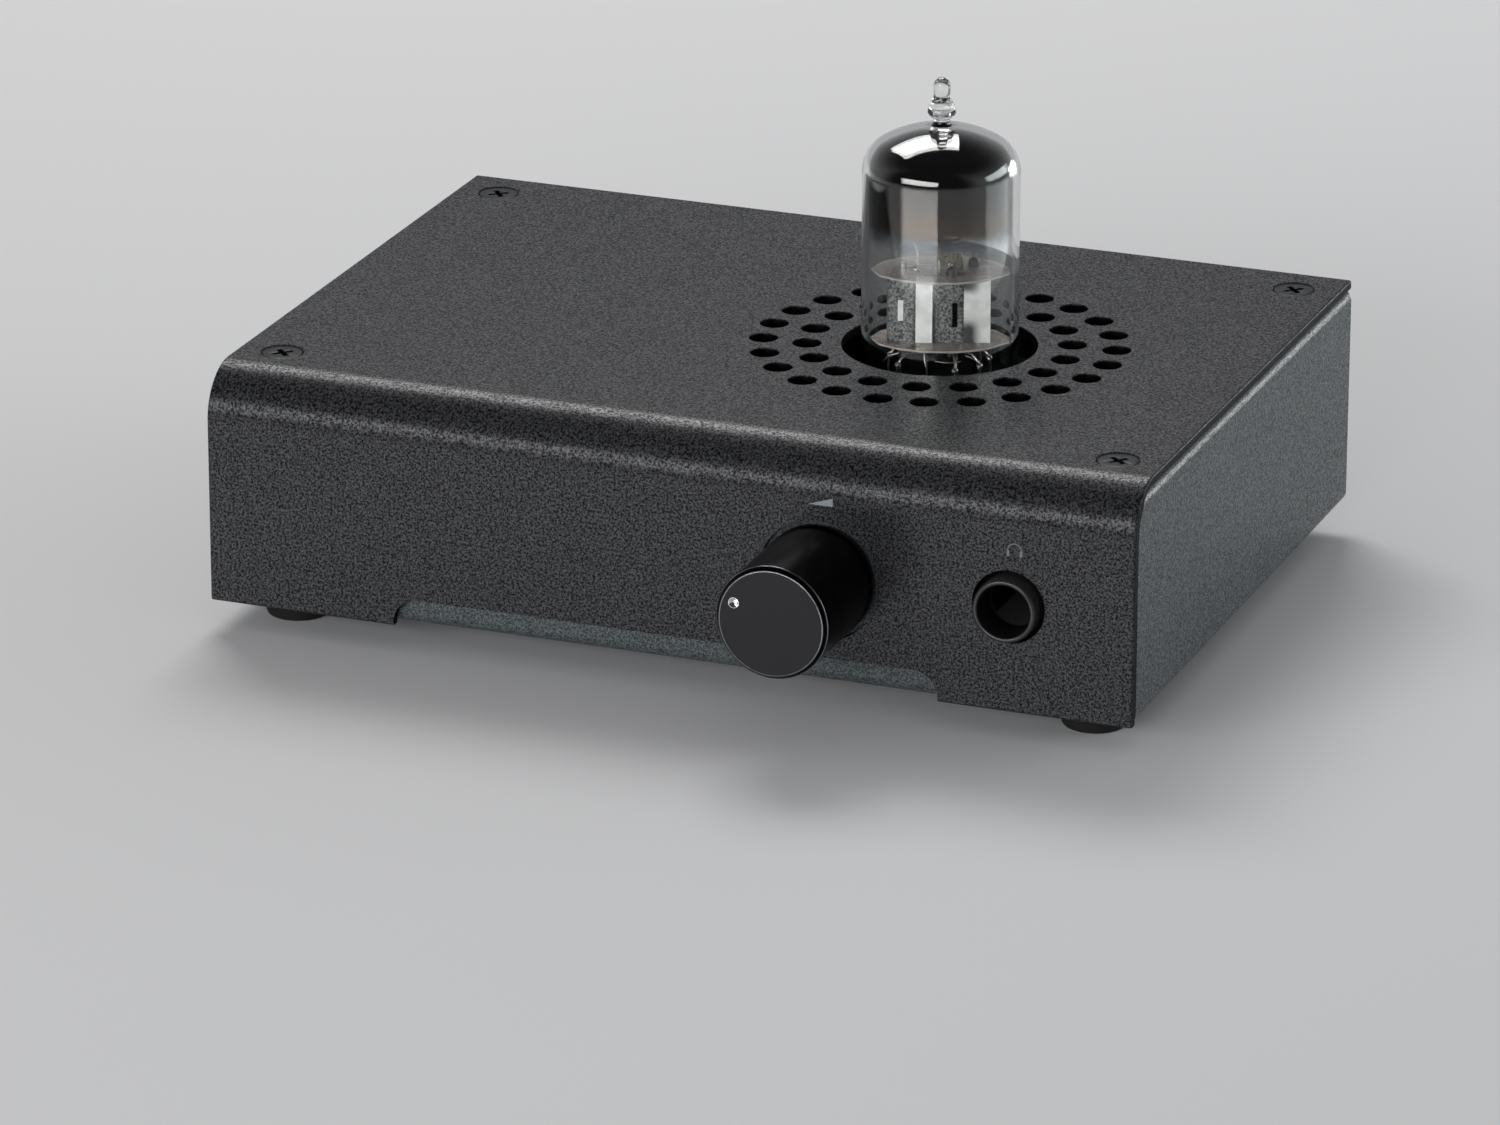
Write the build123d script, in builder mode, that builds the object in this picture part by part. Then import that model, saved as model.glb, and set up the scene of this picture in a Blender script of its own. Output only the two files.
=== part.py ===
from build123d import *
import os
from math import atan2, cos, degrees, hypot, radians, sin, sqrt

os.makedirs("parts", exist_ok=True)

# Desktop headphone amplifier with one plug-in tube. Millimetres, +Z up, +X to the right
# as seen from the front. The origin is on the table, under the middle of the overall
# footprint, from the knob's face to the tips of the phono barrels.

# ---- case ----
width = 127.0
depth = 89.9  # front panel to rear panel
height = 35.4  # table to the top of the cover
foot_height = 3.8
knob_reach = 16.5  # knob face ahead of the front panel
plug_reach = 8.5  # phono barrels behind the rear panel
cover_sheet = 1.3
cover_bend = 6.9  # outside radius between top and front panel
cover_edge = 0.35  # rounding of the coated cut edges
notch_side = 26.0  # relief along the bottom of the front panel, from each side of the case
notch_height = 3.9
notch_corner = 3.4
tray_sheet = 1.2
tray_bend = 1.6
tray_corner_seam = 0.25  # open seam between the rear wall and each side
sheet_gap = 0.1
flange_reach = 9.5  # how far the side flanges turn inwards
flange_start = 8.0  # flanges begin this far behind the tray's front wall
front_wall_height = 23.0

front_y = knob_reach - (knob_reach + depth + plug_reach) / 2
rear_y = front_y + depth
tray_front = front_y + cover_sheet + sheet_gap
tray_top = height - cover_sheet
floor_top = foot_height + tray_sheet
wall_front = tray_front + tray_sheet  # inside face of the tray's front wall
wall_rear = rear_y - tray_sheet  # inside face of the tray's rear wall

# ---- cover screws, clinch nuts and feet ----
screw_side = 6.05  # from the side of the case
screw_front = 10.75  # behind the front panel
screw_rear = 6.55  # ahead of the rear panel
thread_radius = 1.5
thread_fit = 0.03
screw_length = 6.0
screw_head_radius = 2.65
screw_head_drop = 0.1
cross_length = 3.2
cross_width = 0.8
cross_depth = 1.1
cross_taper = 12
sink_radius = 2.92
through_radius = 1.7
clinch_radius = 3.1
clinch_height = 2.2
foot_side = 8.2  # from the side of the case
foot_inset = 9.75  # from the front and rear panels
foot_top_radius = 4.75
foot_bottom_radius = 4.2
foot_edge = 0.5

side_x = width / 2
screw_places = [
    (s * (side_x - screw_side), y)
    for s in (-1, 1)
    for y in (front_y + screw_front, rear_y - screw_rear)
]
foot_places = [
    (s * (side_x - foot_side), y)
    for s in (-1, 1)
    for y in (front_y + foot_inset, rear_y - foot_inset)
]

# ---- main board ----
board_side_gap = 3.3
board_sheet = 1.6
board_front_gap = 1.0
board_rear_gap = 0.5
standoff_height = 4.3
standoff_radius = 2.75
board_hole_inset = 4.5
board_hole_left = 60.5  # rear-left board screw, behind the front edge of the board
board_hole_right = 57.0  # rear-right board screw, behind the front edge of the board
board_hole_middle = 14.85  # front board screw beside the headphone socket's axis
board_screw_head_radius = 2.75
board_screw_head_height = 2.0
board_screw_head_edge = 0.8
board_screw_grip = 4.5
board_cross_length = 2.8
board_cross_width = 0.7

board_width = width - 2 * (tray_sheet + board_side_gap)
board_bottom = floor_top + standoff_height
board_top = board_bottom + board_sheet
board_front = wall_front + board_front_gap
board_rear = wall_rear - board_rear_gap

# ---- tube and vent pattern ----
tube_side = 42.3  # tube axis from the right side of the case
tube_back = 44.95  # tube axis behind the front panel
tube_hole_radius = 12.9
vent_radius = 1.95
inner_ring_radius = 17.35
inner_ring_count = 18
outer_ring_radius = 23.15
outer_ring_count = 24
glass_radius = 10.3
glass_wall = 0.9
glass_heel = 2.0  # rounding at the foot of the glass
glass_button = 2.4  # thickness of the pressed base
glass_height = 49.15  # from the seat on the socket to the tip
tip_length = 6.55  # sealed tip above the crown
crown_rise = 6.0  # crown above the shoulder's start
shoulder_radius = 4.5
socket_height = 9.1
socket_lift = 2.5  # gap between board and socket, for the contact legs
socket_radius = 10.6
socket_edge = 0.5
socket_boss = 3.5
socket_well = 2.4
seat_gap = 0.1
pin_circle = 5.95
pin_count = 9
pin_radius = 0.508
pin_length = 7.1
pin_fit = 0.052
pin_seal = 0.02
lead_radius = 0.25
lead_stub = 0.6  # pin standing proud of the base inside the glass
lead_gap = 0.4
lead_top_circle = 4.4
tip_foot_radius = 1.7
tip_neck_radius = 1.05
tip_neck_rise = 0.7  # neck, bead and waist of the tip above the crown
tip_bead_radius = 1.86
tip_bead_rise = 2.0
tip_waist_rise = 4.2
tip_nipple_radius = 1.2
contact_wall = 0.5
contact_drop = 0.4  # contacts below the top of the socket
lower_mica_lift = 13.7  # lower mica above the seat
mica_pitch = 9.0
mica_sheet = 0.3
mica_radius = 9.2
mica_teeth = 10
anode_width = 5.0
anode_depth = 6.2
anode_pitch = 7.1
anode_sheet = 0.3
anode_turn = -14.0  # direction from the left to the right anode, about +Z
anode_slot_width = 1.2
anode_slot_height = 3.4
anode_corner = 0.7
shield_sheet = 0.2
shield_margin = 0.6
cathode_radius = 0.55
cathode_wall = 0.15
heater_radius = 0.3
rod_fit = 0.02
grid_rod_radius = 0.3
grid_rod_spread = 1.6
grid_wall = 0.1
grid_turns = 8
grid_half_width = 0.8
rod_overhang = 1.2
getter_ring_radius = 2.6
getter_wire = 0.35
getter_post_radius = 0.22
getter_lift = 4.6  # ring above the upper mica

tube_x = side_x - tube_side
tube_y = front_y + tube_back
socket_bottom = board_top + socket_lift
socket_top = socket_bottom + socket_height
seat_z = socket_top + seat_gap
tip_z = seat_z + glass_height
crown_z = tip_z - tip_length
shoulder_z = crown_z - crown_rise
lower_mica_z = seat_z + lower_mica_lift
upper_mica_z = lower_mica_z + mica_pitch
tube_axis = Axis((tube_x, tube_y, 0), (0, 0, 1))
tube_plane = Plane(origin=(tube_x, tube_y, 0), x_dir=(1, 0, 0), z_dir=(0, -1, 0))
cage_plane = Plane(
    origin=(tube_x, tube_y, 0), x_dir=(cos(radians(anode_turn)), sin(radians(anode_turn)), 0)
)

# ---- volume control ----
control_z = 17.95  # height of the knob's and the headphone socket's axes
knob_hole_radius = 8.1
knob_radius = 7.5
knob_chamfer = 0.5
knob_tuck = 0.5  # back of the knob inside the panel hole
knob_recess_radius = 4.4
knob_recess = 2.2
dimple_radius = 0.7
dimple_from_axis = 5.4
dimple_depth = 0.45
dimple_floor = 0.175  # radius at the bottom of the dimple
pointer_angle = 156.6  # dimple and set screw, about the knob's axis, from +X
shaft_radius = 3.0
shaft_fit = 0.05
shaft_flat = 1.5  # flat of the D shaft, from the axis
shaft_grip = 9.0  # shaft inside the knob
shaft_end_room = 0.4
shaft_edge = 0.4
set_screw_radius = 1.5
set_screw_length = 5.0
set_screw_back = 4.5  # ahead of the knob's back face
set_screw_edge = 0.25
hex_radius = 0.87
pot_width = 10.0
pot_depth = 7.0
pot_height = 12.5
pot_plate = 1.0
pot_gap = 0.35
bushing_radius = 3.5
bushing_hole_radius = 3.8
bushing_stick_out = 0.1  # bushing ahead of the front panel
wiper_radius = 3.7
wiper_sheet = 1.2
wiper_room = 0.4

knob_x = tube_x
knob_back = front_y + knob_tuck
knob_face = front_y - knob_reach
pot_front = wall_front + pot_gap + pot_plate
pot_wall = 0.8
shaft_end = pot_front + pot_wall + wiper_room
shaft_tip = knob_back - shaft_grip

# ---- headphone socket ----
jack_side = 16.65  # socket axis from the right side of the case
jack_bore_radius = 3.25
jack_nose_bore_radius = 3.45
jack_nose_radius = 4.2
jack_nose_reach = 2.0  # nose ahead of the front panel
jack_mouth = 0.3  # chamfer of the mouth
jack_panel_radius = 4.87
jack_tray_radius = 5.2
jack_width = 16.0
jack_length = 27.0
jack_height = 14.2
jack_edge = 1.0
jack_end_wall = 2.0
jack_gap = 0.3
jack_strip = 0.4
jack_strip_width = 2.4
jack_strip_wall = 0.4  # plastic left between bore and contact strip
jack_strip_length = 14.0

jack_x = side_x - jack_side
jack_front = wall_front + jack_gap

# ---- rear panel: phono sockets ----
phono_z = 19.5
phono_pitch = 14.0
input_side = 18.5  # middle of the input pair from the left side of the case
output_from_input = 30.0
phono_barrel_radius = 4.15
phono_barrel_wall = 0.5
phono_core_fit = 0.05
phono_core_recess = 0.8
phono_barrel_edge = 0.15
phono_collar_radius = 5.0
phono_collar_reach = 1.2
phono_collar_edge = 0.3
phono_hole_radius = 5.2
phono_pin_radius = 1.62
phono_pin_wall = 0.33
phono_pin_reach = 0.3  # centre contact beyond the plastic core
phono_block_margin = 5.5
phono_block_depth = 11.4
phono_block_height = 14.0
phono_block_edge = 0.8
phono_gap = 0.3

input_x = input_side - side_x
output_x = input_x + output_from_input
phono_face = wall_rear - phono_gap  # back of the blocks, just inside the rear wall

# ---- rear panel: power inlet and switches ----
inlet_side = 13.5  # inlet axis from the right side of the case
inlet_z = 17.0
inlet_bore_radius = 3.15
inlet_bore_depth = 11.0
inlet_pin_radius = 1.05
inlet_pin_recess = 1.0
inlet_pin_edge = 0.4
inlet_mouth_edge = 0.25
inlet_nose_radius = 4.2
inlet_nose_reach = 0.5
inlet_hole_radius = 4.5
inlet_width = 9.5
inlet_depth = 14.0
inlet_height = 11.0
gain_switch_side = 47.5  # switch axes from the right side of the case
power_switch_side = 30.5
switch_z = 17.5
switch_width = 8.0
switch_depth = 9.0
switch_height = 12.6
switch_hole_radius = 3.25
switch_bushing_radius = 3.0
switch_bushing_reach = 3.0
switch_bushing_bore = 1.9
switch_bushing_edge = 0.3
switch_ball_radius = 1.8
switch_pivot_depth = 1.75  # ball centre inside the bushing's mouth
switch_neck_radius = 1.0
switch_tip_radius = 1.45
switch_tip_rounding = 1.16
switch_tail_radius = 0.8
switch_tail_length = 3.4
switch_well_radius = 2.2
switch_well_depth = 1.6
switch_throw = 12.5  # tilt each way, degrees

inlet_x = side_x - inlet_side
gain_switch_x = side_x - gain_switch_side
power_switch_x = side_x - power_switch_side
bushing_mouth = rear_y + switch_bushing_reach
pivot_y = bushing_mouth - switch_pivot_depth

# ---- parts on the board ----
# A place is measured from the board's right edge, and from its front or its rear edge.
reservoir_radius = 6.25
reservoir_height = 20.0
reservoir_pitch = 14.0
reservoir_edge = 0.6
reservoir_row_count = 2
reservoir_right = 81.5
reservoir_front = 43.5
reservoir_margin = 2.0  # free board on the left of the reservoirs
small_cap_radius = 3.15
small_cap_height = 11.0
small_cap_pitch = 8.5
small_cap_edge = 0.4
small_cap_right = 63.5
small_cap_front = 44.0
film_cap_size = (13.0, 5.0, 11.0)
film_cap_edge = 0.5
film_cap_pitch = 7.0
film_cap_count = 4
film_cap_right = 65.0
film_cap_front = 18.0
relay_size = (15.0, 7.5, 10.0)
relay_edge = 0.6
relay_right = 67.0
relay_rear = 17.75
heatsink_width = 13.0
heatsink_depth = 7.0
heatsink_height = 18.0
heatsink_base = 1.6
heatsink_fin = 1.0
heatsink_fin_count = 5
heatsink_pitch = 12.5
heatsink_right = 14.5
regulator_body = (10.0, 4.5, 9.0)
regulator_tab = (10.0, 1.3, 15.0)
regulator_lift = 3.0
regulator_gap = 0.45  # between the headphone socket and the first regulator
transistor_size = (8.0, 3.2, 11.0)
transistor_lift = 3.0
transistor_pitch = 8.6
transistor_count = 4
transistor_right = 41.7
transistor_rear = 14.25
component_leg = 0.4
leg_pitch = 2.54
diode_radius = 1.8
diode_length = 8.0
diode_pitch = 4.4
diode_count = 4
diode_right = 16.0
diode_rear = 19.1
resistor_radius = 1.15
resistor_length = 6.3
resistor_wire = 0.3
resistor_span = 9.0
resistor_column_pitch = 11.0
resistor_column_count = 3
resistor_row_pitch = 3.2
resistor_row_count = 5
resistor_right = 39.0
resistor_front = 20.5

reservoir_room = board_width - reservoir_right - reservoir_radius - reservoir_margin
reservoir_column_count = 1 + int(reservoir_room / reservoir_pitch)


def facing_front(y):
    """Plane at y whose sketches are seen from the front: local x is X, local y is Z."""
    return Plane.XZ.offset(-y)


# =========================== case ===========================

with BuildPart() as outer_shell:
    with BuildSketch(Plane.YZ) as cover_profile:
        with BuildLine():
            Polyline(
                (rear_y, height),
                (front_y, height),
                (front_y, foot_height),
                (front_y + cover_sheet, foot_height),
                (front_y + cover_sheet, tray_top),
                (rear_y, tray_top),
                close=True,
            )
        make_face()
        outer_corner = cover_profile.vertices().sort_by(Axis.Y)[-2:].sort_by(Axis.X)[0]
        fillet(outer_corner, cover_bend)
        inner_corner = (
            cover_profile.vertices()
            .filter_by(lambda v: abs(v.X - front_y - cover_sheet) < 0.01)
            .sort_by(Axis.Y)[-1]
        )
        fillet(inner_corner, cover_bend - cover_sheet)
    extrude(amount=width / 2, both=True)
    # relief along the bottom of the front panel
    with BuildSketch(facing_front(front_y)) as notch:
        with Locations((0, foot_height)):
            RectangleRounded(width - 2 * notch_side, 2 * notch_height, notch_corner)
    extrude(amount=-cover_sheet, mode=Mode.SUBTRACT)
    # coated cut edges
    end_edges = outer_shell.faces().filter_by(Axis.X).sort_by(Axis.X)
    fillet(end_edges[0].edges() + end_edges[-1].edges(), cover_edge)
    # knob and headphone holes
    with BuildSketch(facing_front(front_y)):
        with Locations((knob_x, control_z)):
            Circle(knob_hole_radius)
        with Locations((jack_x, control_z)):
            Circle(jack_panel_radius)
    extrude(amount=-cover_sheet, mode=Mode.SUBTRACT)
    # tube hole and the two rings of vents
    with BuildSketch(Plane.XY.offset(height)):
        with Locations((tube_x, tube_y)):
            Circle(tube_hole_radius)
            with PolarLocations(inner_ring_radius, inner_ring_count):
                Circle(vent_radius)
            with PolarLocations(outer_ring_radius, outer_ring_count):
                Circle(vent_radius)
    extrude(amount=-cover_sheet, mode=Mode.SUBTRACT)
    # countersunk screw holes
    with Locations(*[(x, y, height) for x, y in screw_places]):
        CounterSinkHole(through_radius, sink_radius, depth=cover_sheet, counter_sink_angle=90)
outer_shell.part.label = "outer_shell"
export_step(outer_shell.part, "parts/outer_shell.step")

with BuildPart() as chassis_tray:
    tray_height = tray_top - foot_height
    # side view: rear and front bends at the bottom, and the curve that clears the cover's bend
    with BuildSketch(Plane.YZ) as side_view:
        with Locations((tray_front, foot_height)):
            Rectangle(rear_y - tray_front, tray_height, align=(Align.MIN, Align.MIN))
        fillet(side_view.vertices().group_by(Axis.Y)[0], tray_bend)
        front_top = side_view.vertices().group_by(Axis.Y)[-1].sort_by(Axis.X)[0]
        fillet(front_top, cover_bend - cover_sheet - sheet_gap)
    extrude(amount=width / 2, both=True)
    # front view: bends between floor, sides and flanges
    with BuildSketch(facing_front(tray_front)):
        with Locations((0, foot_height + tray_height / 2)):
            RectangleRounded(width, tray_height, tray_bend)
    extrude(amount=-depth, mode=Mode.INTERSECT)
    # hollow between the walls
    inside_width = width - 2 * tray_sheet
    inside_depth = wall_rear - wall_front
    with Locations((0, wall_front, floor_top)):
        Box(
            inside_width,
            inside_depth,
            tray_height - 2 * tray_sheet,
            align=(Align.CENTER, Align.MIN, Align.MIN),
            mode=Mode.SUBTRACT,
        )
        # opening between the two flanges
        Box(
            width - 2 * flange_reach,
            inside_depth,
            tray_height,
            align=(Align.CENTER, Align.MIN, Align.MIN),
            mode=Mode.SUBTRACT,
        )
    # front wall stops short of the cover's bend, and the flanges start behind it
    with Locations((0, tray_front, foot_height + front_wall_height)):
        Box(
            inside_width,
            flange_start,
            tray_height,
            align=(Align.CENTER, Align.MIN, Align.MIN),
            mode=Mode.SUBTRACT,
        )
    # open seams at the rear corners
    with Locations(*[(s * (inside_width - tray_corner_seam) / 2, wall_rear, floor_top) for s in (-1, 1)]):
        Box(
            tray_corner_seam,
            tray_sheet,
            tray_height,
            align=(Align.CENTER, Align.MIN, Align.MIN),
            mode=Mode.SUBTRACT,
        )
    # front wall holes
    with BuildSketch(facing_front(tray_front)):
        with Locations((knob_x, control_z)):
            Circle(bushing_hole_radius)
        with Locations((jack_x, control_z)):
            Circle(jack_tray_radius)
    extrude(amount=-tray_sheet, mode=Mode.SUBTRACT)
    # rear wall holes
    with BuildSketch(facing_front(wall_rear)):
        with Locations(
            *[(x + s * phono_pitch / 2, phono_z) for x in (input_x, output_x) for s in (-1, 1)]
        ):
            Circle(phono_hole_radius)
        with Locations((gain_switch_x, switch_z), (power_switch_x, switch_z)):
            Circle(switch_hole_radius)
        with Locations((inlet_x, inlet_z)):
            Circle(inlet_hole_radius)
    extrude(amount=-tray_sheet, mode=Mode.SUBTRACT)
    # flange holes for the cover screws
    with BuildSketch(Plane.XY.offset(tray_top)):
        with Locations(*screw_places):
            Circle(through_radius)
    extrude(amount=-tray_sheet, mode=Mode.SUBTRACT)
chassis_tray.part.label = "chassis_tray"
export_step(chassis_tray.part, "parts/chassis_tray.step")

with BuildPart() as cover_screws:
    head_top = height - screw_head_drop
    head_height = screw_head_radius - thread_radius
    with Locations(*[(x, y, head_top) for x, y in screw_places]):
        Cone(
            thread_radius,
            screw_head_radius,
            head_height,
            align=(Align.CENTER, Align.CENTER, Align.MAX),
        )
        Cylinder(
            thread_radius, screw_length, align=(Align.CENTER, Align.CENTER, Align.MAX)
        )
    # cross recess
    with BuildSketch(Plane.XY.offset(head_top)):
        with Locations(*screw_places):
            Rectangle(cross_length, cross_width, rotation=45)
            Rectangle(cross_width, cross_length, rotation=45)
    extrude(amount=-cross_depth, taper=cross_taper, mode=Mode.SUBTRACT)
cover_screws.part.label = "cover_screws"
export_step(cover_screws.part, "parts/cover_screws.step")

with BuildPart() as clinch_nuts:
    with BuildSketch(Plane.XY.offset(tray_top - tray_sheet)):
        with Locations(*screw_places):
            Circle(clinch_radius)
            Circle(thread_radius + thread_fit, mode=Mode.SUBTRACT)
    extrude(amount=-clinch_height)
clinch_nuts.part.label = "clinch_nuts"
export_step(clinch_nuts.part, "parts/clinch_nuts.step")

with BuildPart() as feet:
    with Locations(*[(x, y, foot_height / 2) for x, y in foot_places]):
        Cone(foot_bottom_radius, foot_top_radius, foot_height)
    fillet(feet.edges().group_by(Axis.Z)[0], foot_edge)
feet.part.label = "feet"
export_step(feet.part, "parts/feet.step")

# =========================== main board ===========================

board_holes = [
    (-board_width / 2 + board_hole_inset, board_front + board_hole_inset),
    (jack_x - board_hole_middle, board_front + board_hole_inset),
    (-board_width / 2 + board_hole_inset, board_front + board_hole_left),
    (board_width / 2 - board_hole_inset, board_front + board_hole_right),
]

with BuildPart() as main_board:
    with BuildSketch(Plane.XY.offset(board_bottom)):
        with Locations((0, board_front)):
            Rectangle(board_width, board_rear - board_front, align=(Align.CENTER, Align.MIN))
        with Locations(*board_holes):
            Circle(through_radius, mode=Mode.SUBTRACT)
    extrude(amount=board_sheet)
main_board.part.label = "main_board"
export_step(main_board.part, "parts/main_board.step")

with BuildPart() as board_standoffs:
    with BuildSketch(Plane.XY.offset(floor_top)):
        with Locations(*board_holes):
            RegularPolygon(standoff_radius, 6, major_radius=False)
            Circle(thread_radius + thread_fit, mode=Mode.SUBTRACT)
    extrude(amount=standoff_height)
board_standoffs.part.label = "board_standoffs"
export_step(board_standoffs.part, "parts/board_standoffs.step")

with BuildPart() as board_screws:
    with Locations(*[(x, y, board_top) for x, y in board_holes]):
        Cylinder(
            board_screw_head_radius,
            board_screw_head_height,
            align=(Align.CENTER, Align.CENTER, Align.MIN),
        )
        Cylinder(thread_radius, board_screw_grip, align=(Align.CENTER, Align.CENTER, Align.MAX))
    fillet(board_screws.edges().group_by(Axis.Z)[-1], board_screw_head_edge)
    with BuildSketch(Plane.XY.offset(board_top + board_screw_head_height)):
        with Locations(*board_holes):
            Rectangle(board_cross_length, board_cross_width)
            Rectangle(board_cross_width, board_cross_length)
    extrude(amount=-cross_depth, taper=cross_taper, mode=Mode.SUBTRACT)
board_screws.part.label = "board_screws"
export_step(board_screws.part, "parts/board_screws.step")

# =========================== tube and its socket ===========================

pin_step = 360 / (pin_count + 1)  # one place in the circle stays empty, as a key
pin_angles = [-90 + pin_step * (i + 1) for i in range(pin_count)]


def at_tube(z):
    """Horizontal plane on the tube's axis at height z."""
    return Plane((tube_x, tube_y, z))


def pin_places():
    """The pins' places around the tube's axis."""
    return PolarLocations(
        pin_circle, pin_count, pin_angles[0], pin_angles[-1] - pin_angles[0], endpoint=True
    )


with BuildPart() as tube_socket:
    with BuildSketch(at_tube(socket_bottom)):
        Circle(socket_radius)
        with pin_places():
            Circle(pin_radius + pin_fit + contact_wall + thread_fit, mode=Mode.SUBTRACT)
    extrude(amount=socket_height)
    chamfer(tube_socket.edges().filter_by(GeomType.CIRCLE).group_by(SortBy.RADIUS)[-1], socket_edge)
    with BuildSketch(at_tube(socket_bottom)):
        Circle(socket_boss)
    extrude(amount=-socket_lift)
    with BuildSketch(at_tube(socket_top)):
        Circle(socket_well)
    extrude(amount=-socket_height / 2, mode=Mode.SUBTRACT)
tube_socket.part.label = "tube_socket"
export_step(tube_socket.part, "parts/tube_socket.step")

with BuildPart() as tube_socket_contacts:
    with BuildSketch(at_tube(socket_bottom)):
        with pin_places():
            Circle(pin_radius + pin_fit + contact_wall)
            Circle(pin_radius + pin_fit, mode=Mode.SUBTRACT)
    extrude(amount=socket_height - contact_drop)
    with BuildSketch(at_tube(board_top)):
        with pin_places():
            Circle(pin_radius + pin_fit + contact_wall)
    extrude(amount=socket_lift)
tube_socket_contacts.part.label = "tube_socket_contacts"
export_step(tube_socket_contacts.part, "parts/tube_socket_contacts.step")

# The crown is an arc about the axis, tangent to the shoulder's arc. Angles lean from upright.
crown_drop = crown_z - shoulder_z
flat_reach = glass_radius - shoulder_radius
crown_radius = (flat_reach**2 + crown_drop**2 - shoulder_radius**2) / (
    2 * (crown_drop - shoulder_radius)
)
crown_center = crown_z - crown_radius
crown_lean = degrees(atan2(flat_reach, shoulder_z - crown_center))


def on_arc(center, radius, lean):
    """Point on a circle in the (radius, height) plane, lean degrees away from upright."""
    return (center[0] + radius * sin(radians(lean)), center[1] + radius * cos(radians(lean)))


def bulb_outline(inset, foot):
    """Closed half outline of the bulb, moved inwards by inset, standing at height foot."""
    crown = (0, crown_center)
    shoulder = (flat_reach, shoulder_z)
    crown_r = crown_radius - inset
    shoulder_r = shoulder_radius - inset
    top = on_arc(crown, crown_r, 0)
    join = on_arc(crown, crown_r, crown_lean)
    wall = on_arc(shoulder, shoulder_r, 90)
    Polyline(top, (0, foot), (wall[0], foot), wall)
    ThreePointArc(wall, on_arc(shoulder, shoulder_r, (90 + crown_lean) / 2), join)
    ThreePointArc(join, on_arc(crown, crown_r, crown_lean / 2), top)


with BuildPart() as tube_glass:
    with BuildSketch(tube_plane) as bulb:
        with BuildLine():
            bulb_outline(0, seat_z)
        make_face()
        heel = bulb.vertices().group_by(Axis.Y)[0].sort_by(Axis.X)[-1]
        fillet(heel, glass_heel)
    revolve(axis=tube_axis)
    # sealed exhaust tip: a neck, a bead and a rounded nipple
    with BuildSketch(tube_plane):
        with BuildLine():
            tip_root = crown_z - glass_wall / 2
            waist_z = crown_z + tip_waist_rise
            nipple_top = tip_z - tip_nipple_radius
            Polyline((0, tip_z), (0, tip_root), (tip_foot_radius, tip_root))
            Spline(
                (tip_foot_radius, tip_root),
                (tip_neck_radius, crown_z + tip_neck_rise),
                (tip_bead_radius, crown_z + tip_bead_rise),
                (tip_nipple_radius, waist_z),
                tangents=((-1, 0.6), (0, 1)),
            )
            Line((tip_nipple_radius, waist_z), (tip_nipple_radius, nipple_top))
            CenterArc((0, nipple_top), tip_nipple_radius, 0, 90)
        make_face()
    revolve(axis=tube_axis)
    # hollow above the pressed base, and the pin holes through it
    with BuildSketch(tube_plane):
        with BuildLine():
            bulb_outline(glass_wall, seat_z + glass_button)
        make_face()
    revolve(axis=tube_axis, mode=Mode.SUBTRACT)
    with BuildSketch(at_tube(seat_z)):
        with pin_places():
            Circle(pin_radius + pin_seal)
    extrude(amount=glass_button, mode=Mode.SUBTRACT)
tube_glass.part.label = "tube_glass"
export_step(tube_glass.part, "parts/tube_glass.step")

# each pin carries a thin lead that leans inwards and ends under the lower mica
lead_foot = seat_z + glass_button + lead_stub
lead_rise = lower_mica_z - lead_gap - lead_foot
lead_lean = pin_circle - lead_top_circle
lead_planes = []
for angle in pin_angles:
    c, s = cos(radians(angle)), sin(radians(angle))
    lead_planes.append(
        Plane(
            origin=(tube_x + pin_circle * c, tube_y + pin_circle * s, lead_foot - lead_radius),
            z_dir=(-lead_lean * c, -lead_lean * s, lead_rise),
        )
    )

with BuildPart() as tube_pins:
    with Locations(at_tube(seat_z - pin_length)):
        with pin_places():
            Cylinder(
                pin_radius,
                pin_length + glass_button + lead_stub,
                align=(Align.CENTER, Align.CENTER, Align.MIN),
            )
    chamfer(tube_pins.edges().group_by(Axis.Z)[0], pin_radius / 2)
    with Locations(*lead_planes):
        Cylinder(
            lead_radius,
            hypot(lead_lean, lead_rise),
            align=(Align.CENTER, Align.CENTER, Align.MIN),
        )
tube_pins.part.label = "tube_pins"
export_step(tube_pins.part, "parts/tube_pins.step")

# ---- the cage inside the glass, in its own turned frame ----
triodes = (-anode_pitch / 2, anode_pitch / 2)
cage_floor = lower_mica_z + mica_sheet
cage_height = upper_mica_z - cage_floor
on_floor = (Align.CENTER, Align.CENTER, Align.MIN)


for name, z in (("tube_lower_mica", lower_mica_z), ("tube_upper_mica", upper_mica_z)):
    # toothed spacer with holes for the cathodes and the grid rods
    with BuildPart() as mica:
        with BuildSketch(cage_plane.offset(z)):
            RegularPolygon(mica_radius, mica_teeth)
            with Locations(*[(x, 0) for x in triodes]):
                Circle(cathode_radius + rod_fit, mode=Mode.SUBTRACT)
                with Locations((0, -grid_rod_spread), (0, grid_rod_spread)):
                    Circle(grid_rod_radius + rod_fit, mode=Mode.SUBTRACT)
        extrude(amount=mica_sheet)
    mica.part.label = name
    export_step(mica.part, f"parts/{name}.step")

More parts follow.
